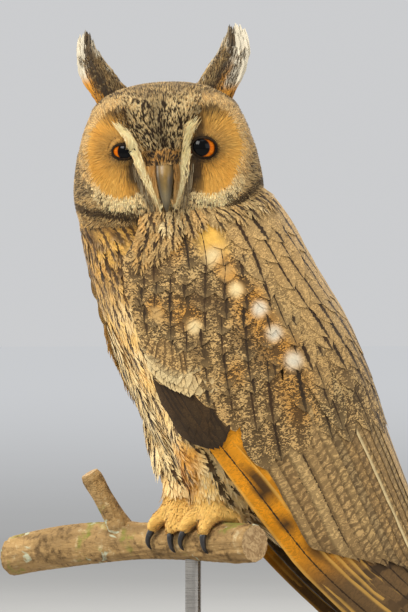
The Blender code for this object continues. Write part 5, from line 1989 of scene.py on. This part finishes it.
def make_wing(hand, side):
    coat = Coat(f"wing_coverts_{side}", 110 + hand)
    rng = coat.rng

    # ten primaries, the outermost lowest
    flight = Coat(f"primaries_{side}", 120 + hand)
    number = 10
    t = np.linspace(0, 1, number)
    roots = np.stack([158 - 10 * t, 0.26 - 0.20 * t], 1)
    tips = np.array(PRIMARY_TIPS, float)
    places = np.linspace(0, len(tips) - 1, number)
    tips = np.stack([np.interp(places, np.arange(len(tips)), tips[:, k]) for k in (0, 1)], 1)
    tips[:, 1] += 0.05 * ramp(-tips[:, 1], -0.5, -0.1)
    spine, up = wing_spines(roots, tips, 16, hand, (-0.8 + 0 * t, 0.6 - 1.2 * t), -0.03)
    inner_bars = np.interp(t, (0, 0.5, 0.8, 1), (0.95, 0.9, 0.5, 0.15))

    def primary_colour(at, pick):
        along = (at / MM - AXIS_TOP) @ DOWN_AXIS
        low = 1 - ramp(along, 232, 262)
        colour = blend(blend("brown", "dusky", 0.6), "deep_orange", low)
        for place, share in ((187, 0.105), (202, 0.11), (224, 0.11), (242, 0.16)):
            gap = wing_gap(at / MM, place, share, hand) / 5.6
            colour = blend(colour, ink("dark") * 0.8, 0.95 * (1 - ramp(gap, 0.7, 1.0)))
        return colour

    look = {
        "ground": primary_colour,
        "mark": with_strength(blend("dark", "black", 0.3), 0.45),
        "tip": with_strength(blend("yellow", "buff", 0.5), 0.3),
        "pattern": pattern(0.05, inner_bars, 0.3),
    }
    bake, start = wing_bake(roots, hand), roots[:, 0] / 10 - 1.5
    flight.lay(FLIGHT, spine, up, 7.2 + 0.8 * t, bake, look, 0.10, roll=0.05 * hand, start=start)
    flight.build(primary_plume)

    # secondaries and the long inner tertials
    flight = Coat(f"secondaries_{side}", 130 + hand)
    number = 14
    t = np.linspace(0, 1, number)
    roots = np.stack([164 - 4 * t, 0.265 + 0.62 * t], 1)
    tips = row_of(t, (0, 0.3, 0.6, 1), (244, 262, 276, 290), (0.22, 0.42, 0.64, 0.90))
    tips[:, 0] += rng.uniform(-1.5, 1.5, number)
    spine, up = wing_spines(roots, tips, 16, hand, (-1.0 + 0.8 * t, 0.7 + 1.2 * t))
    ground = blend("tan", "grey_brown", rng.uniform(0.0, 0.5, number))
    pale_edge = np.isclose(np.abs(t - 0.72), np.abs(t - 0.72).min())
    # the dark tip colour darkens each feather's edges and tip: painted shade between the feathers, except
    # on the one pale-edged feather
    look = {
        "ground": varied(rng, ground, 0.14),
        "mark": with_strength(blend("dark", "brown", 0.1), np.where(pale_edge, 0.1, 0.45 + 0.4 * t)),
        "tip": with_strength(blend("dark", "cream", 0.8 * pale_edge), 0.4),
        "pattern": pattern(rng.uniform(0.06, 0.22, number), rng.uniform(0.4, 0.85, number), 0.55),
    }
    bake, start = wing_bake(roots, hand), rng.uniform(0, 40, number)
    wide = np.linspace(7.6, 8.8, number)
    flight.lay(FLIGHT, spine, up, wide, bake, look, 0.10, roll=-0.06 * hand, start=start)
    flight.build(flight_plume)

    # primary coverts, a smooth dark patch
    for first, lift in ((126, 0.3), (133, 0.6), (139, 0.9)):
        shares = np.arange(-0.05, 0.135, 0.026)
        number = len(shares)
        roots = np.stack([first + 22 * shares, shares], 1)
        tips = np.stack([first + 30 + 22 * shares - 700 * (shares - 0.04) ** 2, 0.9 * shares + 0.005], 1)
        spine, up = wing_spines(roots, tips, 9, hand, (-0.6, lift))
        look = {
            "ground": varied(rng, same(blend("dark", "dusky", 0.25), number), 0.12),
            "mark": blend("dark", "black", 0.5),
            "tip": with_strength("black", 0.4),
            "pattern": pattern(0.12, 0.0, 0.6),
        }
        coat.lay(COVERT, spine, up, 5.6, wing_bake(roots, hand), look, 0.15, 0.05)

    # the alula and the feathers of the wing's bend, a pale barred roll over it
    for root_row, tip_row, number, lift, name, scrawls in ALULA:
        u = np.linspace(0, 1, number)
        roots, tips = (row_of(u, (0, 0.35, 0.7, 1), *row) for row in (root_row, tip_row))
        tips[:, 0] += rng.uniform(-1.2, 1.2, number)
        spine, up = wing_spines(roots, tips, 9, hand, (0.0, lift * (1 - 0.75 * ramp(u, 0.5, 1))))
        ground = blend(ink(name), ink("tan"), 0.2 + 0.6 * ramp(u, 0.5, 1))
        look = {
            "ground": varied(rng, ground, 0.12),
            "mark": blend("dark", "dusky", 0.4),
            "tip": with_strength("cream", 0.35),
            "pattern": pattern(rng.uniform(0.0, 0.10, number), 0.0, scrawls),
        }
        coat.lay(COVERT, spine, up, (3.4, 4.4), wing_bake(roots, hand), look, 0.22, 0.12)

    # coverts and scapulars, row over row, their shafts in line down the wing
    for at, step, low, high, length, half, lift in sorted(covert_rows(), key=lambda row: -row[0] - row[4]):
        lean = WING_LEAN if high < 1 else 0.0
        columns = np.arange(-3, 24) * 0.088 + 0.03
        shares = (columns - lean * (at - 60)) / (1 + lean * step)
        shares = shares[(shares >= low) & (shares <= high)]
        number = len(shares)
        shares = shares + rng.uniform(-0.012, 0.012, number)
        along = at + step * shares + rng.uniform(-1.8, 1.8, number)
        roots = np.stack([along, shares], 1)
        reach = length * rng.uniform(0.92, 1.08, number)
        ends = np.maximum(shares + share_slope(shares) * reach, 0.0)
        kept = np.clip((140 + 700 * np.maximum(ends - 0.08, 0) - along) / reach, 10 / reach, 1)
        tips = np.stack([along + reach * kept, shares + (ends - shares) * kept], 1)
        spine, up = wing_spines(roots, tips, 9, hand, lift)
        upper = ramp(shares, 0.55, 0.7) * (1 - ramp(along, 105, 135))
        base = blend("sand", "tan", 0.5 * upper)
        base = varied(rng, base, 0.18)
        streak = rng.uniform(0.04, 0.15, number) * (rng.uniform(size=number) < 0.8) + 0.08 * upper
        look = {
            "ground": wing_colour(hand, base),
            "mark": varied(rng, same(blend("dark", "black", 0.25), number), 0.2),
            "tip": with_strength(blend("tan", "cream", rng.uniform(0, 0.5, number)), 0.12),
            "pattern": wing_strength(hand, streak, 0.9 - 0.4 * upper),
        }
        wide = half * rng.uniform(0.94, 1.06, number)
        coat.lay(COVERT, spine, up, wide, wing_bake(roots, hand), look, 0.09, 0.03)
    coat.build(vane_plume)

    # loose feathers of the neck's side that fall over the shoulder
    coat = Coat(f"shoulder_feathers_{side}", 150 + hand)
    rng = coat.rng
    for at in (56, 50, 44, 38, 32) if hand > 0 else (58, 53):
        first = 0.08 if at > 48 else 0.20
        shares = np.arange(first + 0.03 * (at % 4) / 2, 1.02, 0.058)
        number = len(shares)
        along = at + 3 * np.sin(shares * 9) + rng.uniform(-2, 2, number)
        roots = np.stack([along, shares + rng.uniform(-0.02, 0.02, number)], 1)
        reach = rng.uniform(13, 17, number) + 6 * ramp(shares, 0.4, 0.7)
        tips = np.stack([along + reach, roots[:, 1] + (share_slope(roots[:, 1]) - 0.001) * reach], 1)
        spine, up = wing_spines(roots, tips, 7, hand, (0.2, 1.6))
        tone = rng.uniform(0, 1, number)
        low = 1 - ramp(shares, 0.15, 0.5)
        ground = blend(blend("sand", "tan", tone), ink("orange") * 0.7, low * tone * 0.45)
        ground = varied(rng, blend(ground, "cream", (rng.uniform(size=number) < 0.15) * 0.6), 0.12)
        look = {
            "ground": mottled(ground, 0.8 * (hand < 0)),
            "mark": varied(rng, same("dark", number), 0.2),
            "tip": with_strength(varied(rng, same("sand", number), 0.1), 0.3),
            "pattern": pattern(rng.uniform(0.10, 0.24, number), 0, 0.5),
        }
        coat.lay(LOOSE, spine, up, (4.4, 5.8), wing_bake(roots, hand), look, 0.2, 0.08)
    if hand < 0:
        # flank feathers that fall over the hidden wing's lower edge
        number = 110
        shares = rng.uniform(-0.05, 0.02, number)
        roots = np.stack([rng.uniform(96, 222, number), shares], 1)
        tips = roots + np.stack([rng.uniform(17, 24, number), np.full(number, -0.02)], 1)
        spine, up = wing_spines(roots, tips, 7, hand, (-1.5, 0.4))
        # pale cream and yellow like the flank, made pale partly as painted light, since these feathers lie
        # in shade
        ground = blend("cream", "yellow", 0.5 * rng.uniform(0.3, 1, number))
        look = {
            "ground": varied(rng, ground, 0.12),
            "mark": varied(rng, same("dark", number), 0.2),
            "tip": with_strength("cream", 0.3),
            "pattern": pattern(rng.uniform(0.10, 0.24, number), 0, 0.2),
        }
        coat.lay(LOOSE, spine, up, (4.4, 5.8), wing_bake(np.abs(roots), hand), look, 0.2, 0.1)
    coat.build(loose_plume)

    # the arm and hand inside, as a thin closed sheet
    rows, columns = 44, 15
    along = np.linspace(*CORE_ALONG, rows)[:, None] + np.zeros((1, columns))
    share = np.zeros((rows, 1)) + np.linspace(*CORE_SHARES, columns)[None]
    up = wing_up(along, share, hand)
    place = wing_place(along, share, hand)
    bm = bmesh.new()
    sheets = []
    for lift in CORE_FACES:
        points = (place + up * lift) * MM
        sheets.append([[bm.verts.new(p) for p in row] for row in points])
    for grid in sheets:
        for i in range(rows - 1):
            for j in range(columns - 1):
                bm.faces.new((grid[i][j], grid[i][j + 1], grid[i + 1][j + 1], grid[i + 1][j]))
    bmesh.ops.bridge_loops(bm, edges=[e for e in bm.edges if e.is_boundary])
    core = bmesh_piece(bm, f"wing_core_{side}", skin_material_made)
    # a dark shadow tone: painted shade where the sheet shows between the feathers
    store(core.data, "ground", "FLOAT_COLOR", "color", same(ink("dusky") * 0.6, len(core.data.vertices)))
    hand_over(core, [f"wing_{side}"])


for hand, side in HANDS:
    make_wing(hand, side)


# The tail and the tufts of the head

# Along and depth of the tail's root and tip, and how far it spreads to each side there
TAIL_ROOT = (236, 10)
TAIL_TIP = (352, 7)
TAIL_SPREADS = (11, 23)


def make_tail():
    coat = Coat("tail_feathers", 131)
    rng = coat.rng
    rows = 14
    t = np.linspace(0, 1, rows)
    for pair in range(6):
        for hand in (1, -1):
            share = (pair + 0.5) / 6
            along = TAIL_ROOT[0] + (TAIL_TIP[0] - 10 * share**2 - TAIL_ROOT[0]) * t
            spread = TAIL_SPREADS[0] + (TAIL_SPREADS[1] - TAIL_SPREADS[0]) * t
            depth = TAIL_ROOT[1] + (TAIL_TIP[1] - TAIL_ROOT[1]) * t - 4.5 * share**2 - 0.62 * pair
            depth = depth - (0.3 if hand > 0 else 0)
            spine = body_place(along, depth, hand * spread * share)[None] * MM
            up = np.broadcast_to(unit(TO_BACK + LEFT * hand * 0.28 * share), (1, rows, 3))
            look = {
                "ground": varied(rng, blend("grey_brown", "buff", 0.2 + 0.5 * share)[None], 0.06),
                "mark": ink("dark"),
                "tip": with_strength("sand", 0.6),
                "pattern": pattern(0.05, 0.9, 0.45),
            }
            bake = np.array([[0.55 + 0.02 * pair + (0.14 if hand > 0 else 0), 0.51]])
            coat.lay(FLIGHT, spine, up, 7.6, bake, look, 0.10, start=np.array([1.0]))

    # coverts over and under the tail's root
    for lift, name in ((1, "sand"), (-1, "cream")):
        number = 46
        along = 222 + 46 * rng.uniform(0, 1, number) ** 0.9
        side = rng.uniform(-11, 11, number)
        line = along[:, None] + np.linspace(0, 1, 6)[None] * rng.uniform(24, 34, number)[:, None]
        depth = 10 - 0.026 * (line - 236) + lift * (9.0 - 0.085 * (line - 222)) - 0.02 * side[:, None] ** 2
        spine = body_place(line, depth, side[:, None] * (1 + 0.004 * (line - 222))) * MM
        up = np.broadcast_to(unit(lift * TO_BACK), spine.shape)
        ground = blend(name, "grey_brown", 0.3 * (lift > 0))
        look = {
            "ground": varied(rng, same(ground, number), 0.12),
            "mark": ink("dark"),
            "tip": with_strength("cream", 0.4),
            "pattern": pattern(0.08, 0.1, 0.5 if lift > 0 else 0.05),
        }
        bake = np.stack([0.72 + 0.01 * side, np.full(number, 0.51)], 1)
        coat.lay(LOOSE, spine, up, 6.5, bake, look, 0.25, 0.15)
    coat.build(tail_plume, ["tail"])


TUFT_BASE = np.array((24.5, 8, 24.5))
TUFT_TIP = np.array((36.4, 3, 60.5))
# For each hand, the height where the rim whitens, and where the rim and its white edge start and
# are full: over the spread of the long feathers and over the sideways share of the short ones
WHITE_FROM = {1: (27, 32), -1: (33, 40)}
LONG_RIMS = {1: ((-0.6, 0.8), (0.2, 1.4)), -1: ((0.8, 2.4), (2.8, 4.0))}
SHORT_RIMS = {1: ((-0.1, 0.3), (0.2, 0.5)), -1: ((0.35, 0.75), (0.7, 0.85))}


def tuft_colours(hand, inner, outer, edge, rng):
    """Dark down the middle, mottled buff within, and whitish over orange along the outer edge."""
    number = len(inner)
    speck = varied(rng, blend("sand", "dusky", 0.6 * rng.uniform(size=number)), 0.2)

    def colours(at, pick):
        height = head_coordinates(at)[2]
        rise = ramp(height, 34, 46)
        colour = blend(ink("smoke") * 0.5, "smoke", 0.6 * rise)
        colour = blend(colour, speck[pick][:, None], inner[pick][:, None] * 0.9)
        white = np.maximum(rise, edge[pick][:, None] * ramp(height, *WHITE_FROM[hand]))
        rim = blend("orange", ink("white") * 0.9, white)
        return blend(colour, rim, outer[pick][:, None] * 0.92)

    return colours


def make_tufts():
    for hand, side in HANDS:
        coat = Coat(f"ear_tuft_feathers_{side}", 140 + hand)
        rng = coat.rng
        for layer in range(4):
            wide = 1.3 if hand > 0 else 1.05
            spreads = np.linspace(-8.8, 6.4, 15) + rng.uniform(-0.4, 0.4, 15)
            lengths = np.interp(spreads, (-9, -6, -3.2, -0.6, 2, 6.6), (0.56, 0.78, 0.95, 1.0, 0.99, 0.93))
            lengths = lengths * (1, 0.88, 0.72, 0.55)[layer] * rng.uniform(0.94, 1.02, len(spreads))
            number = len(spreads)
            t = np.linspace(0, 1, 9)[None]
            share = lengths[:, None]
            place = TUFT_BASE + (TUFT_TIP - TUFT_BASE) * (share * t)[..., None]
            bow = 4.2 * np.sin(math.pi * t * share)
            fan = wide * spreads[:, None] * (1 - 0.40 * share * t)
            face = place[..., 1] - np.abs(spreads)[:, None] * 0.22 + (0, 0.9, 1.6, 2.2)[layer]
            face = face + 0.4 * np.cos(9 * spreads)[:, None]
            spine = head_place(hand * (place[..., 0] + bow + fan), face, place[..., 2])
            up = unit(HEAD_FACE + HEAD_SIDE * hand * (0.06 * spreads)[:, None, None])
            up = np.broadcast_to(up, spine.shape)
            rim_from, edge_from = LONG_RIMS[hand]
            inner, outer = ramp(-spreads, 1.2, 3.6), ramp(spreads, *rim_from)
            edge = ramp(spreads, *edge_from)
            look = {
                "ground": tuft_colours(hand, inner, outer, edge, rng),
                "mark": ink("black"),
                "tip": with_strength(blend("dusky", "white", np.maximum(inner, outer)), 0.5),
                "pattern": pattern(0.2 * (1 - outer), 0, (0.2 + 0.4 * inner) * (1 - outer)),
            }
            bake = head_bake(spine[:, 0])
            coat.lay(TUFT, spine, up, (1.7, 2.5), bake, look, 0.2, 0.3)
        # short feathers that hide the tuft's root
        number = 520
        t = rng.uniform(0, 0.55, number) ** 1.1
        angle = rng.uniform(0, 2 * math.pi, number)
        wide = np.interp(t, (0, 0.25, 0.62), (8.2, 6.6, 4.0)) * (1.2 if hand > 0 else 1.0)
        deep = np.interp(t, (0, 0.25, 0.62), (5.0, 3.4, 1.6))
        middle = TUFT_BASE + (TUFT_TIP - TUFT_BASE) * t[:, None] + np.array((-1.0, -1.0, -2.0))
        out_side, out_face = np.cos(angle), np.sin(angle)
        t2 = np.linspace(0, 1, 5)[None]
        reach = rng.uniform(6, 9, number)[:, None]
        lift = 0.4 + 0.6 * t2
        bow = 4.2 * np.sin(math.pi * t)
        side_at = middle[:, :1] + bow[:, None] + out_side[:, None] * (wide[:, None] + lift)
        side_at = side_at + 0.30 * reach * t2
        face_at = middle[:, 1:2] + out_face[:, None] * (deep[:, None] + lift) - 0.1 * reach * t2
        height_at = middle[:, 2:3] + 0.93 * reach * t2
        spine = head_place(hand * side_at, face_at, height_at)
        up = unit(HEAD_SIDE * hand * out_side[:, None, None] + HEAD_FACE * out_face[:, None, None] * 1.6)
        up = np.broadcast_to(up, spine.shape)
        inner = ramp(-out_side, 0.1, 0.6) * 0.9
        outer, edge = (ramp(out_side, *ends) for ends in SHORT_RIMS[hand])
        look = {
            "ground": tuft_colours(hand, inner, outer, edge, rng),
            "mark": ink("dark"),
            "tip": with_strength("sand", tipped(rng, number, 0.3, 0.5)),
            "pattern": pattern(0.2, 0, 0.4),
        }
        coat.lay(DOWNY, spine, up, (1.1, 1.6), head_bake(spine[:, 0]), look, 0.2, 0.2)
        coat.build(loose_plume, [f"ear_tuft_{side}"])


make_tail()
make_tufts()


# The branch's frame and the toes, as in the solids
BRANCH_TURN = math.radians(30)
BRANCH_AT = np.array((0, -23.5, 111.5))
BRANCH_ALONG = np.array((math.cos(BRANCH_TURN), math.sin(BRANCH_TURN), 0))
BRANCH_AHEAD = np.array((math.sin(BRANCH_TURN), -math.cos(BRANCH_TURN), 0))
BRANCH_RADIUS = 9.4
BRANCH_ENDS = (-124.0, 43.0)
# Where the branch's knots stand along it and round it, their half width and their height
KNOTS = ((-96, 2.2, 8, 1.6), (-70, 4.0, 9, 1.8), (-22, 5.4, 7, 1.3), (31, 2.9, 6, 1.2), (-46, 0.5, 10, 2.4))
# Where each foot stands along the branch
FEET_ALONG = (14, -9)
# Each toe's start and end along the branch from its foot, then its angles round the branch there
TOES = ((-4.0, -9.5, -4, 70), (2.8, 5.0, -2, 78), (5.0, 10.0, 20, -62), (-4.2, -4.4, 12, -66))


def over_branch(along, angle, out):
    a = np.radians(angle)
    middle = BRANCH_AT + BRANCH_ALONG * np.asarray(along)[..., None]
    way = BRANCH_AHEAD * np.sin(a)[..., None] + UP * np.cos(a)[..., None]
    return middle + way * np.asarray(out)[..., None]


def make_claws():
    horn = horn_material("claw horn", (shade(18, 16, 16), shade(34, 31, 30), shade(64, 58, 52)))
    for (_, side), foot in zip(HANDS, FEET_ALONG):
        for number, (root, tip, first, last) in enumerate(TOES, 1):
            sweep = 44 / abs(last - first)
            t = np.linspace(1.0 - sweep * 0.30, 1.0 + sweep, 16)
            u = np.linspace(0, 1, 16)
            along = foot + root + (tip - root) * np.minimum(t, 1.25)
            angle = first + (last - first) * t
            out = BRANCH_RADIUS + 0.93 * np.interp(u, (0, 0.35, 0.7, 1), (3.0, 3.3, 2.9, 1.2))
            radius = np.interp(u, (0, 0.2, 0.6, 0.9, 1), (1.7, 1.75, 1.25, 0.6, 0.16))
            bm = bmesh.new()
            centres = over_branch(along, angle, out) * MM
            bent_tube(bm, centres, BRANCH_ALONG, radius * MM * 0.92, radius * MM * 1.1, 16)
            hand_over(bmesh_piece(bm, f"talon_{side}_{number}", horn), [f"claw_{side}_{number}"])


# The perch and its stand


def make_branch():
    bark = bark_material()
    cut_wood = cut_wood_material()
    bm = bmesh.new()
    rng = np.random.default_rng(77)
    sides, rows = 96, 330
    places = np.linspace(*BRANCH_ENDS, rows)
    ridges = rng.uniform(0, 7, 8)
    rings = []
    for i, along in enumerate(places):
        out = along / 100
        centre = BRANCH_AT + BRANCH_ALONG * along + np.array((0, 2.0, 3.2)) * out**3 - UP * 2.5 * out**2
        radius = BRANCH_RADIUS * (1 + 0.05 * math.sin(along / 17) - 0.9 * along * MM)
        ring = []
        for k in range(sides):
            a = 2 * math.pi * k / sides
            rough = 0
            for m, phase in enumerate(ridges):
                bend = 1.6 * math.sin(along / (13 + 3 * m))
                rough += 0.16 * math.sin((m + 3) * 2.1 * a + phase + along * (0.035 + 0.02 * m) + bend)
            rough += 0.13 * math.sin(along * 1.1 + 2.2 * math.sin(2 * a + 1)) * math.sin(3 * a + along / 9)
            for at, turn, wide, high in KNOTS:
                gap = math.hypot(along - at, radius * math.sin((a - turn) / 2) * 2)
                if gap < wide:
                    dip = 1 - 0.5 * math.exp(-(gap / (0.35 * wide)) ** 2)
                    rough += high * math.cos(gap / wide * math.pi / 2) ** 2 * dip
            reach = radius + 0.5 * max(rough, -0.9)
            if i in (0, rows - 1):
                reach *= 0.965
            way = BRANCH_AHEAD * math.sin(a) + UP * math.cos(a)
            ring.append(bm.verts.new((centre + way * reach) * MM))
        rings.append(ring)
    sawn(bm, rings, "branch", (bark, cut_wood), BRANCH_ALONG, ["perch_branch"])

    # the cut side twig
    bm = bmesh.new()
    foot = BRANCH_AT + BRANCH_ALONG * -46.0 + np.array((0, 2.0, 3.2)) * -0.0973 - UP * 2.5 * 0.2116
    lean = unit(UP * 0.86 + BRANCH_AHEAD * 0.45 - BRANCH_ALONG * 0.24)
    side = unit(np.cross(lean, BRANCH_ALONG))
    other = np.cross(side, lean)
    rings = []
    for t in np.linspace(0.1, 1.0, 60):
        wide = 5.2 * np.interp(t, (0, 0.2, 0.45, 0.7, 0.93, 1), (1.5, 1.22, 1.0, 0.93, 0.98, 0.80))
        ring = []
        for k in range(48):
            a = 2 * math.pi * k / 48
            turns = ((m + 2) * 2 * a + ridges[m] + 5 * t * (m % 3 + 1) for m in range(6))
            rough = sum(0.10 * math.sin(turn) for turn in turns)
            way = side * math.cos(a) + other * math.sin(a)
            ring.append(bm.verts.new((foot + lean * 40.0 * t + way * (wide + rough)) * MM))
        rings.append(ring)
    sawn(bm, rings, "side_twig", (bark, cut_wood), lean)


def end_cap(bm, ring):
    """A cut end: rings stepped in to a middle point."""
    middle = sum((v.co for v in ring), Vector()) / len(ring)
    outer = ring
    for share in (0.8, 0.55, 0.3):
        inner = [bm.verts.new(middle.lerp(v.co, share)) for v in ring]
        for k in range(len(ring)):
            m = (k + 1) % len(ring)
            bm.faces.new((outer[k], outer[m], inner[m], inner[k]))
        outer = inner
    bm.faces.new(outer)


def sawn(bm, rings, name, materials, way, nodes=()):
    """A length of wood from its rings: bark round it, and flat cut faces square to its way."""
    join_rings(bm, rings)
    for ring in (rings[0], rings[-1]):
        end_cap(bm, ring)
    piece = bmesh_piece(bm, name, materials[0])
    hand_over(piece, nodes)
    piece.data.materials.append(materials[1])
    for face in piece.data.polygons:
        if abs(face.normal.dot(Vector(way))) > 0.93:
            face.material_index = 1
            face.use_smooth = False


def cut_wood_material():
    made, w, sockets = new_material("cut wood", 0.7)
    at = w.here()
    rings = w.noise(at, 380.0, 3.0, 0.5, 1.2)
    cracks = w.noise(at, 900.0, 2.0, 0.7)
    colour = w.mix(w.smooth(rings, 0.35, 0.65), shade(150, 118, 76), shade(196, 164, 116))
    colour = w.mix(w.smooth(cracks, 0.60, 0.70, 0.0, 0.6), colour, shade(84, 62, 40))
    w.put(sockets["Base Color"], colour)
    bumped(w, sockets, rings, 0.4, 0.0005)
    return made


# (radius, height) round the base's turned profile
BASE_PROFILE = (
    *((0, 0), (81, 0), (84.5, 0.6), (85.8, 2.2), (86, 4.0), (85.4, 6.2), (83.6, 7.4), (81.6, 7.8)),
    *((80.8, 8.5), (80.2, 10.0), (78.6, 11.2), (76, 11.8), (72, 12), (40, 12), (12, 12), (0, 12)),
)


def make_stand():
    """A turned wooden base and a steel rod."""
    bm = bmesh.new()
    verts = [bm.verts.new(Vector((radius, 0, height)) * MM) for radius, height in BASE_PROFILE]
    edges = [bm.edges.new(pair) for pair in zip(verts, verts[1:])]
    bmesh.ops.spin(
        bm,
        geom=verts + edges,
        cent=(0, 0, 0),
        axis=(0, 0, 1),
        dvec=(0, 0, 0),
        angle=2 * math.pi,
        steps=128,
        use_merge=True,
    )
    bmesh.ops.remove_doubles(bm, verts=bm.verts, dist=0.005 * MM)
    base = bmesh_piece(bm, "turned_base", wood_material())
    hand_over(base, ["stand_base"])
    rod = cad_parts["stand_rod"]
    rod.data.materials.clear()
    rod.data.materials.append(steel_material())


# Floor, light and camera

# The middle of the picture in millimetres, the side it is seen from in degrees, and in metres the
# height of what it shows and how far away the camera stands
PICTURE_CENTRE = (-4.5, -16.7, 229)
PICTURE_AZIMUTH = 75
PICTURE_SIZE = 0.306
CAMERA_DISTANCE = 4.0


def make_studio():
    bm = bmesh.new()
    bmesh.ops.create_grid(bm, x_segments=2, y_segments=2, size=40.0)
    made, w, sockets = new_material("studio floor", 0.9, Specular_IOR_Level=0.0)
    at = w.here()
    tone = w.noise(at, 3.0, 3.0)
    near = w.mix(tone, (0.46, 0.455, 0.44, 1), (0.50, 0.495, 0.48, 1))
    gap = w.add("ShaderNodeVectorMath", operation="LENGTH")
    w.put(gap.inputs[0], at)
    far = w.smooth(w.over(1.0, w.plus(gap.outputs["Value"], 4.0)), 0.04, 0.16, 1.0, 0.0)
    w.put(sockets["Base Color"], w.mix(far, near, (0.97, 0.98, 0.99, 1)))
    floor = bmesh_piece(bm, "floor", made)

    world = bpy.data.worlds.new("studio air")
    world.use_nodes = True
    world.node_tree.nodes["Background"].inputs["Color"].default_value = (0.97, 0.98, 1.0, 1)
    world.node_tree.nodes["Background"].inputs["Strength"].default_value = 0.62
    bpy.context.scene.world = world

    centre = Vector(PICTURE_CENTRE) * MM
    azimuth = math.radians(PICTURE_AZIMUTH)
    towards = Vector((math.sin(azimuth), -math.cos(azimuth), 0))
    right = Vector((math.cos(azimuth), math.sin(azimuth), 0))
    for name, ahead, across, high, size, power, colour in (
        ("key light", 1.3, -1.1, 1.7, 0.9, 44, (1.0, 0.965, 0.90)),
        ("fill light", 1.6, 1.7, 0.9, 1.4, 13, (1.0, 0.98, 0.95)),
        ("top light", 0.1, 0.1, 2.2, 2.0, 22, (1.0, 0.99, 0.96)),
        ("back light", -1.6, 0.9, 1.5, 1.0, 22, (1.0, 0.98, 0.94)),
        ("edge light", -0.7, -1.8, 0.9, 0.9, 16, (1.0, 0.98, 0.94)),
    ):
        light = bpy.data.lights.new(name, "AREA")
        light.size, light.energy, light.color = size, power, colour
        lamp = bpy.data.objects.new(name, light)
        lamp.location = centre + towards * ahead + right * across + Vector((0, 0, high - 0.2))
        lamp.rotation_euler = (centre - lamp.location).to_track_quat("-Z", "Y").to_euler()
        bpy.context.scene.collection.objects.link(lamp)

    camera_data = bpy.data.cameras.new("camera")
    camera_data.sensor_width = 36
    camera_data.lens = camera_data.sensor_width * CAMERA_DISTANCE / PICTURE_SIZE
    camera_data.sensor_fit = "AUTO"
    camera_data.clip_start = 0.1
    camera_data.clip_end = 60
    camera = bpy.data.objects.new("camera", camera_data)
    camera.location = centre + towards * CAMERA_DISTANCE
    camera.rotation_euler = (-towards).to_track_quat("-Z", "Y").to_euler()
    bpy.context.scene.collection.objects.link(camera)
    bpy.context.scene.camera = camera
    bpy.context.scene.view_settings.view_transform = "Standard"
    bpy.context.scene.view_settings.look = "None"


make_claws()
make_branch()
make_stand()
make_studio()
